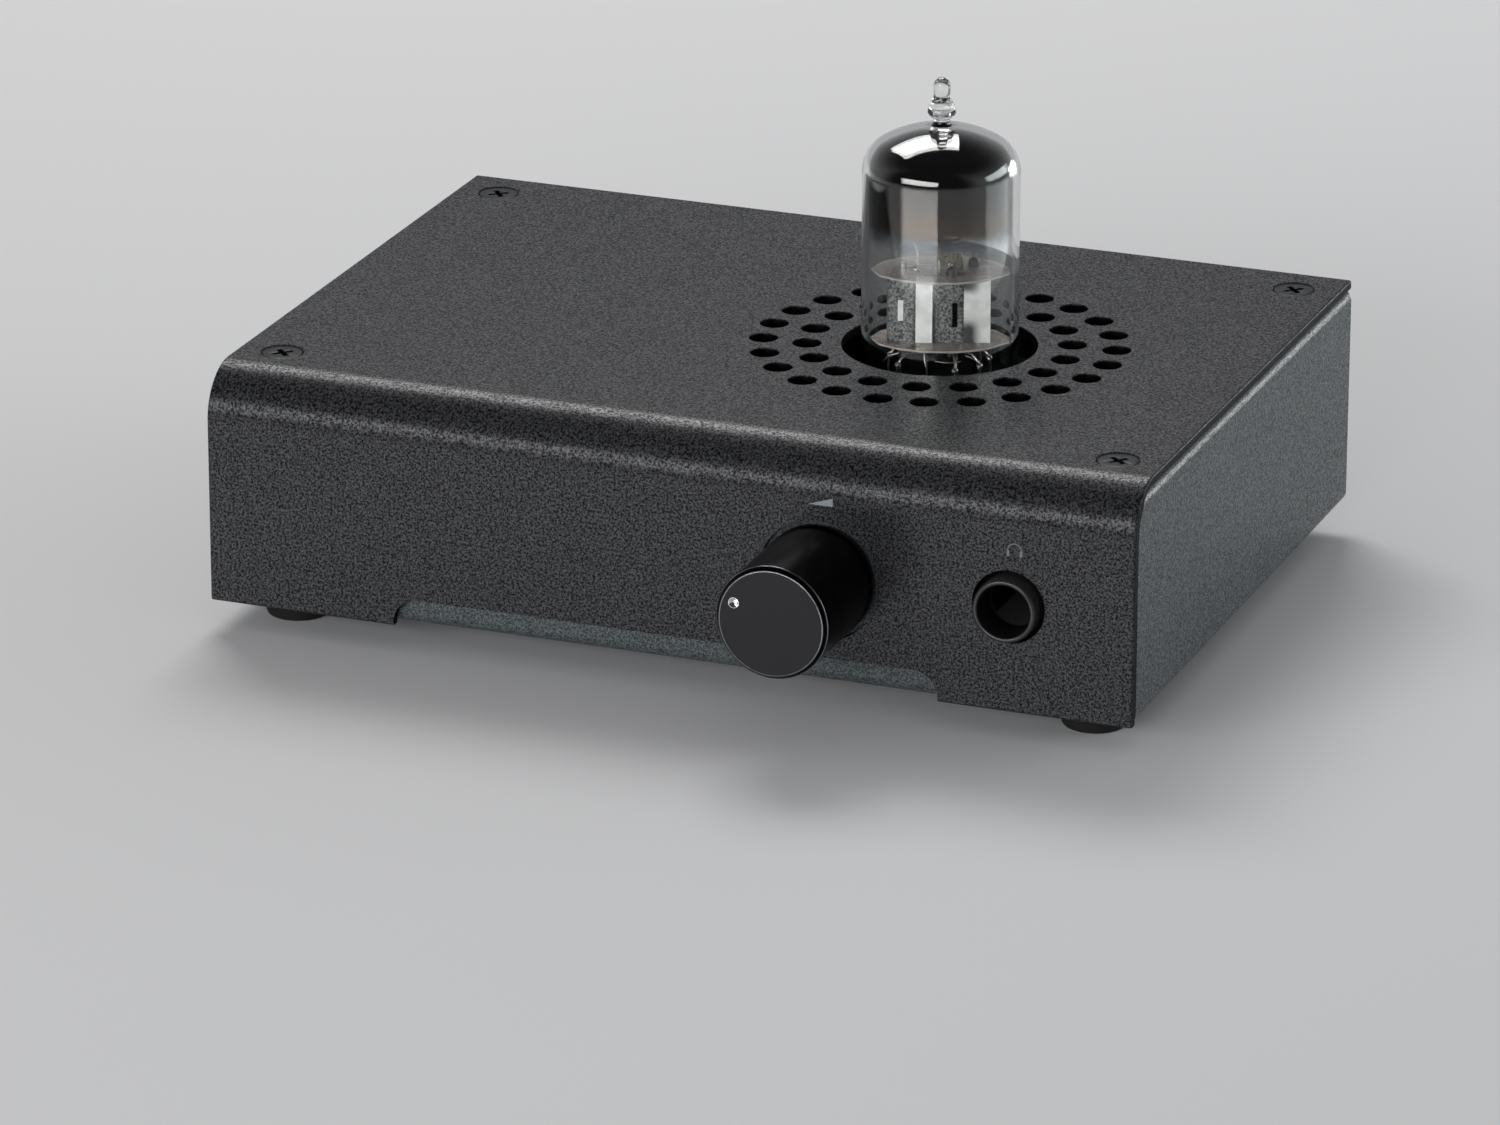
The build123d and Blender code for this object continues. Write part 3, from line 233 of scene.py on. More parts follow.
def arcPoints(centre, radius, start, end, steps=6):
    # points of (radius, height) on an arc, angles in degrees from the radial direction
    angles = [radians(start + (end - start) * i / steps) for i in range(steps + 1)]
    return [(centre[0] + radius * cos(a), centre[1] + radius * sin(a)) for a in angles]


quarter = [radians(15 * i) for i in range(7)]  # angles of a round in six steps


def throughPoints(points, steps=5):
    # smooth path through the points, without the first one
    path = []
    for i in range(len(points) - 1):
        before, here = Vector(points[max(i - 1, 0)]), Vector(points[i])
        there, after = Vector(points[i + 1]), Vector(points[min(i + 2, len(points) - 1)])
        for step in range(1, steps + 1):
            t = step / steps
            bend = (2 * before - 5 * here + 4 * there - after) * t
            bend += (3 * here - before - 3 * there + after) * t * t
            path.append(tuple(here + ((there - before) + bend) * t / 2))
    return path


def wirePiece(radius, points):
    # round wire through the points, as a mesh with capped ends
    curve = bpy.data.curves.new("wire", "CURVE")
    curve.dimensions = "3D"
    curve.bevel_depth = radius * mm
    curve.bevel_resolution = 2
    curve.use_fill_caps = True
    line = curve.splines.new("BEZIER")
    line.bezier_points.add(len(points) - 1)
    for knot, point in zip(line.bezier_points, points):
        knot.co = Vector(point) * mm
        knot.handle_left_type = knot.handle_right_type = "AUTO"
    line.resolution_u = 6
    pick(addObject("wire", curve))
    bpy.ops.object.convert(target="MESH")
    piece = bpy.context.view_layer.objects.active
    editAll(piece)
    closeUp(0.0001)
    return piece


def refined(name, node, edge, angle):
    # copy of a CAD node, merged, with rounded edges and smooth shading
    piece = addObject(name, nodes[node].data.copy())
    piece.data.name = name
    piece.data.materials.clear()
    editAll(piece)
    bpy.ops.mesh.remove_doubles(threshold=0.0002 * mm)
    bpy.ops.mesh.dissolve_limited(angle_limit=radians(0.4))
    leaveEdit()
    if edge:
        roundEdges(piece, edge, angle=angle)
    return smooth(piece, angle)


def aboutZ(degrees):
    return Matrix.Rotation(radians(degrees), 4, "Z")


frontward = Matrix.Rotation(radians(90), 4, "X")  # Z of a turned piece to the front
rearward = Matrix.Rotation(radians(-90), 4, "X")  # and to the rear


def standing(place, facing=None):
    # where a turned piece goes: its foot at the place, its axis up, or to the front or rear
    return Matrix.Translation(Vector(place)) @ (facing or Matrix.Identity(4))


def aimedAt(place, aim):
    # where a camera or lamp goes, in metres
    return Matrix.Translation(place) @ (aim - place).to_track_quat("-Z", "Y").to_matrix().to_4x4()


# shader helpers

def mathNode(operation, swapped=False):
    # a method of Number that adds this Math node
    def method(self, *other):
        inputs = [*other, self] if swapped else [self, *other]
        settings = {"operation": operation}
        return self.finish.node("ShaderNodeMath", settings, dict(enumerate(inputs)), "Value")

    return method


class Number:
    # one number in a node tree; Python operators add Math nodes
    def __init__(self, finish, socket):
        self.finish = finish
        self.socket = socket

    __add__ = __radd__ = mathNode("ADD")
    __sub__ = mathNode("SUBTRACT")
    __rsub__ = mathNode("SUBTRACT", swapped=True)
    __mul__ = __rmul__ = mathNode("MULTIPLY")
    __pow__ = mathNode("POWER")
    size = mathNode("ABSOLUTE")
    sine = mathNode("SINE")
    larger = mathNode("MAXIMUM")
    smaller = mathNode("MINIMUM")

    def ramp(self, low, high):
        # 0 below low, 1 above high, smooth between
        settings = {"interpolation_type": "SMOOTHSTEP"}
        inputs = {"Value": self, "From Min": low, "From Max": high}
        return self.finish.node("ShaderNodeMapRange", settings, inputs, "Result")


class Finish:
    # a material, or the world, built node by node
    def __init__(self, name, world=False):
        self.owner = (bpy.data.worlds if world else bpy.data.materials).new(name)
        self.owner.use_nodes = True
        self.tree = self.owner.node_tree
        self.tree.nodes.clear()
        kind = "ShaderNodeOutputWorld" if world else "ShaderNodeOutputMaterial"
        self.output = self.tree.nodes.new(kind)

    def node(self, kind, settings, inputs, output):
        # settings first, then values or links; gives one of its outputs
        made = self.tree.nodes.new(kind)
        for key, value in settings.items():
            setattr(made, key, value)
        for key, value in inputs.items():
            socket = made.inputs[key]
            if isinstance(value, Number):
                self.tree.links.new(value.socket, socket)
            elif isinstance(value, tuple) and socket.type == "RGBA":
                socket.default_value = (*value, 1)
            else:
                socket.default_value = value
        return Number(self, made.outputs[output])

    def place(self, kind="Object"):
        return self.node("ShaderNodeTexCoord", {}, {}, kind)

    def rays(self, kind):
        return self.node("ShaderNodeLightPath", {}, {}, kind)

    def axes(self, vector=None, unit=mm):
        # the three coordinates of a vector, or of the place in millimetres
        vector = vector or self.place()
        parts = self.node("ShaderNodeSeparateXYZ", {}, {"Vector": vector}, "X").socket.node.outputs
        return [Number(self, parts[axis]) * (1 / unit) for axis in "XYZ"]

    def noise(self, size, detail=2.0, roughness=0.5, vector=None):
        # soft noise whose spots are about size millimetres across
        inputs = {"Vector": vector or self.place(), "Scale": 1 / (size * mm)}
        inputs.update({"Detail": detail, "Roughness": roughness})
        return self.node("ShaderNodeTexNoise", {}, inputs, "Fac")

    def mix(self, factor, first, second):
        # colour from first to second
        inputs = {0: factor, 6: first, 7: second}
        return self.node("ShaderNodeMix", {"data_type": "RGBA"}, inputs, 2)

    def bump(self, height, strength, distance):
        # distance in millimetres
        inputs = {"Height": height, "Strength": strength, "Distance": distance * mm}
        return self.node("ShaderNodeBump", {}, inputs, "Normal")

    def principled(self, **inputs):
        named = {key.replace("_", " "): value for key, value in inputs.items()}
        return self.node("ShaderNodeBsdfPrincipled", {}, named, "BSDF")

    def background(self, colour, strength):
        inputs = {"Color": colour, "Strength": strength}
        return self.node("ShaderNodeBackground", {}, inputs, "Background")

    def blend(self, factor, first, second):
        # shader from first to second
        return self.node("ShaderNodeMixShader", {}, {0: factor, 1: first, 2: second}, "Shader")

    def show(self, surface):
        self.tree.links.new(surface.socket, self.output.inputs["Surface"])
        return self.owner

    def paint(self, **inputs):
        return self.show(self.principled(**inputs))


def dress(material, piece):
    piece.data.materials.clear()
    piece.data.materials.append(material)


def hand(piece, material, body, slot, *replaced):
    # dresses a finished piece, puts it under its body and hides the CAD nodes it stands for; slot is not
    # used
    dress(material, piece)
    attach(piece, body)
    if replaced:
        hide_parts(*replaced)


print("helpers ready")


# camera

camera = {
    "place": (368.185, -960.9, 385.344),
    "aim": (-4.1, 0.8, 2.6),
    "roll": 0.065,  # degrees
    "lens": 198.87,
    "sensor": 36.0,
    "clip": (0.01, 20.0),  # metres
}


def addCamera(values):
    data = bpy.data.cameras.new("camera")
    data.lens = values["lens"]
    data.sensor_width = values["sensor"]
    data.sensor_fit = "HORIZONTAL"
    data.clip_start, data.clip_end = values["clip"]
    piece = addObject("camera", data)
    place = aimedAt(Vector(values["place"]) * mm, Vector(values["aim"]) * mm)
    piece.matrix_world = place @ aboutZ(values["roll"])
    bpy.context.scene.camera = piece


addCamera(camera)
bpy.context.scene.view_settings.view_transform = "Standard"
print("camera set")


# floor, world and lamps

studio = {
    "floorSize": 6000.0,
    "floorColour": (0.68, 0.68, 0.69),
    # roughness and sheen of the floor: calm to look at, and polished where glass and metal mirror it
    "floorCalm": (0.85, 0.05),
    "floorPolished": (0.1, 1.7),
    "skyHorizon": (0.38, 0.385, 0.395),
    "skyTop": (0.04, 0.04, 0.045),
    "dimTop": (0.12, 0.85),  # heights between which the sky goes dark
    "dimFront": (0.1, 0.6),  # and the same towards the front, for mirrored rays alone
    "fill": 0.28,  # what the world gives to diffuse rays
    # each lamp: direction from the part, distance, width and height, brightness, colour
    "lamps": {
        "rearSoftbox": ((-0.32, 0.57, 0.77), 900, (520, 350), 7.2, (1.0, 0.995, 0.985)),
        "frontSoftbox": ((-0.2, -0.945, 0.26), 1000, (1030, 290), 6.1, (0.985, 0.992, 1.0)),
        "rightSoftbox": ((0.88, 0.42, 0.22), 950, (800, 270), 3.2, (0.89, 0.97, 1.0)),
        "rearStrip": ((0.475, 0.872, 0.05), 900, (300, 130), 6.5, (0.97, 0.99, 1.0)),
    },
    "aim": (0.0, 0.0, 30.0),
}


def addFloor(values):
    floor = addPrimitive("studio_floor", "plane", size=values["floorSize"] * mm)
    finish = Finish("pale_floor")
    calm, polished = [
        finish.principled(Base_Color=values["floorColour"], Roughness=roughness, Specular_IOR_Level=sheen)
        for roughness, sheen in (values["floorCalm"], values["floorPolished"])
    ]
    dress(finish.show(finish.blend(finish.rays("Glossy Depth"), calm, polished)), floor)


def addWorld(values):
    sky = Finish("studio_world", world=True)
    y, height = sky.axes(sky.place("Generated"), unit=1.0)[1:]
    mirrored = sky.rays("Is Glossy Ray")
    dim = height.ramp(*values["dimTop"]).larger(mirrored * (0 - y).ramp(*values["dimFront"]))
    seen = sky.rays("Is Camera Ray").larger(mirrored).larger(sky.rays("Is Transmission Ray"))
    plain = sky.background((1, 1, 1), values["fill"])
    shown = sky.background(sky.mix(dim, values["skyHorizon"], values["skyTop"]), 1.0)
    bpy.context.scene.world = sky.show(sky.blend(seen, plain, shown))


def addLamps(values):
    aim = Vector(values["aim"]) * mm
    for name, (direction, distance, size, brightness, colour) in values["lamps"].items():
        data = bpy.data.lights.new(name, "AREA")
        data.shape = "RECTANGLE"
        data.size, data.size_y = size[0] * mm, size[1] * mm
        data.energy = brightness * pi * data.size * data.size_y
        data.color = colour
        lamp = addObject(name, data)
        lamp.matrix_world = aimedAt(aim + Vector(direction).normalized() * distance * mm, aim)
        lamp.visible_camera = False


addFloor(studio)
addWorld(studio)
addLamps(studio)
print("studio lit")


# finishes

def powderCoat(name, dark, pale, grain=0.33, relief=0.05, gloss=(0.1, 1.0), depth=None):
    # baked powder paint: fine grains whose tops shine and whose pits are dull; with depth, painted shade
    # turns the walls of holes and cut edges black
    finish = Finish(name)
    grains = finish.noise(grain, detail=3.0, roughness=0.85)
    tops = grains.ramp(0.41, 0.61)
    shine = gloss[0] + (gloss[1] - gloss[0]) * tops
    if depth:
        outer = 1 - depth(finish).ramp(0.10, 0.25)  # painted shade: the walls of holes and cut edges go dull and black
        tops, shine = tops * outer, shine * outer
    return finish.paint(
        Base_Color=finish.mix(tops, dark, pale),
        Roughness=0.40 + 0.08 * finish.noise(9.0),
        Specular_IOR_Level=0.06,
        Coat_Weight=shine,
        Coat_Roughness=0.28,
        Coat_IOR=1.43,
        Normal=finish.bump(grains, 1.0, relief),
    )


def plainPlastic(name, colour, roughness=0.4, grain=0.5, relief=0.008, sheen=0.5, spread=0.25):
    # cloudy plastic; spread is how far its colour varies
    finish = Finish(name)
    cloudy = finish.noise(grain, detail=3.0)
    darker = tuple(part * (1 - spread) for part in colour)
    lighter = tuple(min(1.0, part * (1 + spread)) for part in colour)
    return finish.paint(
        Base_Color=finish.mix(cloudy, darker, lighter),
        Roughness=roughness * 0.85 + 0.3 * roughness * cloudy,
        Specular_IOR_Level=sheen,
        Normal=finish.bump(cloudy, 0.6, relief),
    )


def metal(name, colour, roughness=0.25, grain=1.2, relief=0.004, stain=0.12, streak=(1, 1, 1)):
    # bare metal with dull stains, drawn out along an axis where its streak is small
    finish = Finish(name)
    inputs = {"Vector": finish.place(), "Scale": streak}
    stretched = finish.node("ShaderNodeMapping", {}, inputs, "Vector")
    wear = finish.noise(grain, detail=4.0, roughness=0.6, vector=stretched)
    dull = tuple(part * (1 - 2 * stain) for part in colour)
    return finish.paint(
        Base_Color=finish.mix(wear.ramp(0.3, 0.7), dull, colour),
        Metallic=1.0,
        Roughness=roughness * 0.7 + 0.6 * roughness * wear,
        Normal=finish.bump(wear, 0.5, relief),
    )


mouldedBlack = plainPlastic("moulded_black", (0.012, 0.012, 0.013), roughness=0.38)
# painted shade for bores, slots and the socket's inside
boreShade = plainPlastic("bore_painted_shade", (0.005, 0.005, 0.005), roughness=0.6, sheen=0.1)
screwBlack = metal("screw_black_oxide", (0.032, 0.033, 0.034), 0.34, grain=0.5, relief=0.006, stain=0.2)
plated = metal("plated_steel", (0.62, 0.62, 0.61), roughness=0.26)
tinned = metal("tinned_contact", (0.72, 0.71, 0.68), roughness=0.2)
nickel = metal("bright_nickel", (0.7, 0.68, 0.64), roughness=0.16)
turnedBright = metal("turned_bright", (0.92, 0.92, 0.92), roughness=0.12, stain=0.03)
tungsten = metal("tungsten", (0.42, 0.41, 0.4), roughness=0.3)
print("finishes mixed")


# cover: one sheet bent over the top and down the front

cover = {
    "dark": (0.0008, 0.0009, 0.0011),  # pits and tops of the paint's grain
    "pale": (0.049, 0.05, 0.057),
    "sheet": 1.3,
    "bend": 6.9,
    "bendSteps": 24,
    "edge": 0.3,
    "rim": 0.13,  # paint rounding on cut edges
    "notch": (26.0, 3.9, 3.4),  # distance from the sides, height and corner
    # radius and sides of each kind of hole
    "knobHole": (8.1, 72),
    "jackHole": (4.87, 56),
    "tubeHole": (12.9, 96),
    "ventHole": (1.95, 40),
    "ventRings": ((17.35, 18), (23.15, 24)),  # radius and number of holes
    "screwHead": 2.65,
    "sink": (2.92, 1.7),  # radius at the top and at the bottom
}
caseLow, caseHigh = nodeBox("outer_shell")
frontY, topZ = caseLow.y, caseHigh.z
knobAxis = nodeMiddle("volume_knob")
jackAxis = nodeMiddle("headphone_jack_nose")
tubeX, tubeY = nodeMiddle("tube_glass").xy
screwLow, screwHigh = nodeBox("cover_screws")
screwPlaces = [
    (x, y)
    for x in (screwLow.x + cover["screwHead"], screwHigh.x - cover["screwHead"])
    for y in (screwLow.y + cover["screwHead"], screwHigh.y - cover["screwHead"])
]


def coverDepth(finish):
    # how far a point lies under the cover's outer face, in millimetres
    x, y, z = finish.axes()
    ahead = (frontY + cover["bend"] - y).larger(0.0)
    above = (z - (topZ - cover["bend"])).larger(0.0)
    return cover["bend"] - (ahead**2 + above**2) ** 0.5


def buildCover(values):
    sheet = boxPiece("cover_sheet", caseLow, caseHigh)
    # keep only the top and the front, and bend the edge between them
    selectWhere(sheet, "polygons", lambda face: face.normal.z < 0.9 and face.normal.y > -0.9)
    bpy.ops.mesh.delete(type="FACE")
    leaveEdit()

    def atCorner(point):
        return hypot(point.y - frontY, point.z - topZ) < 0.005

    roundWhere(sheet, lambda a, b: atCorner(a) and atCorner(b), values["bend"], values["bendSteps"])
    applyModifier(sheet, "SOLIDIFY", thickness=values["sheet"] * mm, offset=-1, use_even_offset=True)
    roundEdges(sheet, values["edge"], segments=3, angle=60)

    # relief along the bottom of the front
    through = 3 * values["sheet"]
    side, tall, corner = values["notch"]
    reach, foot = caseHigh.x - side, caseLow.z
    low, high = (-reach, frontY - through, foot - tall), (reach, frontY + through, foot + tall)
    notch = boxPiece("notch", low, high)
    roundBars(notch, "Y", corner)
    cutters = [notch]

    def drill(outline, sides, x, y, z, facing=None):
        cutters.append(turned("drill", outline, sides, standing((x, y, z), facing)))

    def hole(size, *place):
        radius, sides = size
        ends = [(0, -through), (radius, -through), (radius, through), (0, through)]
        drill(ends, sides, *place)

    hole(values["knobHole"], knobAxis.x, frontY, knobAxis.z, frontward)
    hole(values["jackHole"], jackAxis.x, frontY, jackAxis.z, frontward)
    hole(values["tubeHole"], tubeX, tubeY, topZ)
    for ring, count in values["ventRings"]:
        for i in range(count):
            turn = 2 * pi * i / count
            hole(values["ventHole"], tubeX + ring * cos(turn), tubeY + ring * sin(turn), topZ)
    wide, narrow = values["sink"]
    over = 0.2  # the sinks start this far above the top
    sink = [(0, -through), (narrow, -through), (narrow, narrow - wide), (wide + over, over), (0, over)]
    for x, y in screwPlaces:
        drill(sink, 56, x, y, topZ)
    combined(sheet, joinPieces("cutters", cutters))
    roundEdges(sheet, values["rim"], angle=50)
    smooth(sheet)
    # painted shade on the walls of holes and on cut edges, by their depth under the outer face
    coat = powderCoat("cover_coat", values["dark"], values["pale"], depth=coverDepth)
    hand(sheet, coat, "case", "textured_black", "outer_shell")


buildCover(cover)
print("cover bent and drilled")


# tray

tray = {
    "dark": (0.036, 0.043, 0.046),
    "pale": (0.117, 0.134, 0.142),
    "grain": 0.3,
    "gloss": (0.1, 0.95),
    "edge": 0.16,
}


def buildTray(values):
    coat = powderCoat(
        "tray_coat", values["dark"], values["pale"], grain=values["grain"], gloss=values["gloss"]
    )
    sheet = refined("tray_sheet", "chassis_tray", values["edge"], angle=30)
    hand(sheet, coat, "case", "coated_steel", "chassis_tray")


buildTray(tray)
print("tray folded")


# cover screws

coverScrew = {
    "shank": 1.5,
    "length": 6.0,
    "tip": 0.4,
    "rim": 0.09,
    "edge": 0.05,
    "cross": (3.2, 0.8, 1.1),  # length, width and depth
    "crossTaper": 0.55,
    "turns": (45, 38, 51, 43),  # degrees
}


def crossCutter(values):
    # two tapered bars crossed, as the driver's tip
    length, width, depth = values["cross"]
    taper = values["crossTaper"]
    bars = []
    for turn in (0, 90):
        bar = boxPiece("bar", (-length / 2, -width / 2, -depth), (length / 2, width / 2, 0.3))
        selectWhere(bar, "polygons", lambda face: face.normal.z < -0.9)
        bpy.ops.transform.resize(value=(taper, taper, 1))
        leaveEdit()
        bars.append(moved(bar, aboutZ(turn)))
    return combined(*bars, operation="UNION")


def buildCoverScrews(values):
    head, rim, shank = cover["screwHead"], values["rim"], values["shank"]
    length, tip = values["length"], values["tip"]
    outline = [(0, 0)] + arcPoints((head - rim, -rim), rim, 90, -45, 4)
    outline += [(shank, shank - head), (shank, tip - length), (shank - tip, -length), (0, -length)]
    model = combined(turned("cover_screw", outline, 48), crossCutter(values))
    roundEdges(model, values["edge"])
    smooth(model, 35)
    screws = [
        copied(model, standing((x, y, screwHigh.z)) @ aboutZ(turn))
        for (x, y), turn in zip(screwPlaces, values["turns"])
    ]
    bpy.data.objects.remove(model)
    hand(joinPieces("cover_screw_set", screws), screwBlack, "case", "black_screw", "cover_screws")


buildCoverScrews(coverScrew)
print("cover screwed down")


# volume knob

knob = {
    "side": (0.0012, 0.0012, 0.0014),  # colours of the side, darkened as painted shade, the face, and the chamfer's polished edges
    "face": (0.031, 0.031, 0.034),
    "edgeShine": (0.3, 0.3, 0.315),
    "chamfer": 0.5,
    "edge": 0.12,
    "foot": 0.15,
    "holeEdge": 0.03,
    # radius and depth
    "recess": (4.4, 2.2),
    "bore": (3.03, 9.4),
    "dimple": (0.7, 0.45),
    "dimplePlace": (5.4, 156.6),  # from the knob's axis, and degrees about it
    "setScrew": (1.53, 4.5),  # radius of its hole, and distance from the knob's foot
}
knobLow, knobHigh = nodeBox("volume_knob")
knobRadius = (knobHigh.z - knobLow.z) / 2
knobLength = knobHigh.y - knobLow.y


def anodised(values):
    # black anodised aluminium: glossy turned side, satin face with faint turning lines; the side's
    # near-black colour is painted shade
    finish = Finish("anodised_black")
    x, y, z = finish.axes()
    depth = y - knobLow.y
    radius = ((x - knobAxis.x) ** 2 + (z - knobAxis.z) ** 2) ** 0.5
    onFace = 1 - depth.ramp(0.02, 0.12)
    rim, c, e = knobRadius, values["chamfer"], values["edge"]
    inner = radius.ramp(rim - c - e - 0.03, rim - c - e) * (1 - depth.ramp(0.04, 0.08))
    outer = depth.ramp(c - 0.03, c) * (1 - depth.ramp(c + e, c + e + 0.04))
    edges = inner.larger(outer)
    lines = (radius * 40).sine() * 0.5 + 0.5
    grain = finish.noise(0.22, detail=3.0)
    # painted shade: the side is far darker than the face
    body = finish.mix(onFace, values["side"], values["face"])
    return finish.paint(
        Base_Color=finish.mix(edges, body, values["edgeShine"]),
        Metallic=0.6 + 0.4 * edges,
        Specular_IOR_Level=0.1,
        Roughness=0.2 + 0.24 * onFace * (1 - edges) + 0.08 * grain,
        Normal=finish.bump(grain + 0.5 * lines * onFace, 0.4, 0.004),
    )


def buildKnob(values):
    r, c, e, top, foot = knobRadius, values["chamfer"], values["edge"], knobLength, values["foot"]
    outline = [(0, top), (r - c - 4 * e, top)]
    outline += arcPoints((r - c - e, top - e), e, 90, 45, 3)
    outline += arcPoints((r - e, top - c - e), e, 45, 0, 3)
    outline += [(r, 1.0)] + arcPoints((r - foot, foot), foot, 0, -90, 3)
    (wide, shallow), (narrow, deep) = values["recess"], values["bore"]
    outline += [(wide, 0), (wide, shallow), (narrow, shallow), (narrow, deep), (0, deep)]
    place = standing((knobAxis.x, knobHigh.y, knobAxis.z), frontward)
    body = turned("knob_body", outline, 128, place)
    reach, turn = values["dimplePlace"]
    out = Vector((cos(radians(turn)), 0, sin(radians(turn))))
    axis = Vector((knobAxis.x, 0, knobAxis.z))
    pit = axis + out * reach
    d, depth = values["dimple"]
    deep = depth + 0.1
    hole, back = values["setScrew"]
    side = axis + Vector((0, knobHigh.y - back, 0))
    for cutter in (
        rodPiece("drill", d, (pit.x, knobLow.y - 1, pit.z), (pit.x, knobLow.y + deep, pit.z), 40),
        rodPiece("bore", hole, side, side + out * 2 * r, 40),
    ):
        combined(body, cutter)
    roundEdges(body, values["holeEdge"], segments=1, angle=50)
    smooth(body, 30)
    hand(body, anodised(values), "knob", "anodised_black", "volume_knob")

    # bright turned cup in the pit
    outline = [(0, -depth), (0.18, -depth), (d - 0.03, 0), (d, 0), (d, -deep), (0, -deep)]
    place = standing((pit.x, knobLow.y, pit.z), frontward)
    cup = turned("knob_pointer_dimple", outline, 40, place)
    smooth(cup, 30, flatten=False)
    hand(cup, turnedBright, "knob", "anodised_black")


buildKnob(knob)
print("knob turned")


# headphone socket's nose

jackNose = {
    "colour": (0.022, 0.022, 0.023),
    "radius": 4.2,
    "bore": 3.45,
    "mouth": 0.3,
}
noseLow, noseHigh = nodeBox("headphone_jack_nose")


def buildJackNose(values):
    length = noseHigh.y - noseLow.y
    r, b, c = values["radius"], values["bore"], values["mouth"]
    outline = [(b, 0), (b, length - c), (b + 0.45 * c, length - 0.3 * c), (b + c, length)]
    outline += [(r - c, length), (r - 0.3 * c, length - 0.3 * c), (r, length - c), (r, 0), (b, 0)]
    place = standing((jackAxis.x, noseHigh.y, jackAxis.z), frontward)
    nose = turned("headphone_jack_ring", outline, 96, place)
    smooth(nose, 50, flatten=False)
    plastic = plainPlastic("jack_ring_plastic", values["colour"], roughness=0.26, relief=0.003)
    hand(nose, plastic, "case", "moulded_black", "headphone_jack_nose")
    # painted shade: the bore is darker
    nose.data.materials.append(boreShade)
    for face in nose.data.polygons:
        middle = face.center / mm
        if hypot(middle.x - jackAxis.x, middle.z - jackAxis.z) < b + 0.1:
            face.material_index = 1


buildJackNose(jackNose)
print("headphone socket fitted")


# printed marks on the front: a volume wedge and a pair of headphones

marks = {
    "lift": 0.02,
    "thickness": 0.015,
    "wedge": ((19.94, 28.2), (23.24, 28.2), (23.24, 29.3)),
    "icon": (47.6, 25.55),  # middle of the headphones' band
    "iconRadius": 0.92,
    "iconLine": 0.13,
    "cup": (0.36, 0.74),  # width and height
    "cupInset": 0.06,
    "wedgeInk": (0.255, 0.29, 0.32),
    "iconInk": (0.15, 0.168, 0.182),
}


def flatMark(name, outline):
    # thin printed patch on the front, from (x, z) points
    piece = facePiece(name, [(x, frontY - marks["lift"], z) for x, z in outline])
    closeUp()
    return applyModifier(piece, "SOLIDIFY", thickness=marks["thickness"] * mm, offset=0)


def buildMarks(values):
    wedge = flatMark("volume_mark", values["wedge"])
    x, z = values["icon"]
    r, w = values["iconRadius"], values["iconLine"] / 2
    outer = arcPoints((x, z), r + w, 0, 180, 20)
    inner = arcPoints((x, z), r - w, 180, 0, 20)
    icon = [flatMark("band", outer + inner)]
    half, drop = values["cup"][0] / 2, values["cup"][1]
    for s in (-1, 1):
        middle = x + s * (r - values["cupInset"])
        corners = [(half, 0.0), (half, -drop), (-half, -drop), (-half, 0.0)]
        icon.append(flatMark("cup", [(middle + a, z + b) for a, b in corners]))
    icon = joinPieces("headphones_mark", icon)
    for piece, colour in ((wedge, values["wedgeInk"]), (icon, values["iconInk"])):
        ink = plainPlastic(piece.name + "_ink", colour, 0.6, grain=0.3, sheen=0.3, spread=0.2)
        hand(piece, ink, "case", "textured_black")


buildMarks(marks)
print("marks printed")


# tube: glass

bulb = {
    "tint": (0.97, 0.985, 0.975),
    "shade": (0.93, 0.94, 0.93),  # what the glass lets through to its shadow
    "wall": 0.9,
    "heel": 2.0,
    "base": 2.4,
    "shoulder": 4.5,
    "crownRise": 6.0,
    "tipLength": 6.55,
    "tipFoot": 1.8,
    # rise above the crown and radius up the sealed tip: neck, bead, cone, round end
    "tipStations": (
        (0.75, 1.05), (1.05, 1.12), (1.3, 1.46), (1.6, 1.76), (2.0, 1.86), (2.45, 1.77), (3.1, 1.46),
        (3.75, 1.17), (4.3, 1.08),
    ),
    "sides": 96,
    # getter mirror: gap to the glass, thickness and lowest height, and its colours as it thins out, the
    # first darkened as a painted dark reflection
    "film": (0.04, 0.02, 47.0),
    "filmColours": ((0.038, 0.034, 0.032), (0.082, 0.058, 0.04), (0.085, 0.115, 0.155)),
    # heights between which it goes from clear to full, from blue to brown, and from brown to the painted
    # dark chrome
    "filmFades": ((49.8, 54.2), (51.0, 53.2), (53.0, 58.0)),
}
glassLow, glassHigh = nodeBox("tube_glass")
glassRadius = (glassHigh.x - glassLow.x) / 2
seatZ, tipZ = glassLow.z, glassHigh.z
crownZ = tipZ - bulb["tipLength"]
shoulderZ = crownZ - bulb["crownRise"]
flatReach = glassRadius - bulb["shoulder"]
crownDrop = crownZ - shoulderZ
crownRadius = (flatReach**2 + crownDrop**2 - bulb["shoulder"] ** 2) / (2 * (crownDrop - bulb["shoulder"]))
crownLean = atan2(flatReach, crownRadius - crownDrop) * 180 / pi
atTube = standing((tubeX, tubeY, 0))


def bulbWall(inset, foot, topRadius=0.0):
    # outline up the wall, over the shoulder and the crown, as far as topRadius from the axis
    crown = crownRadius - inset
    last = 90 - atan2(topRadius, sqrt(crown**2 - topRadius**2)) * 180 / pi
    path = [(glassRadius - inset, foot)]
    path += arcPoints((flatReach, shoulderZ), bulb["shoulder"] - inset, 0, 90 - crownLean, 10)
    path += arcPoints((0, crownZ - crownRadius), crown, 90 - crownLean, last, 14)[1:]
    return path


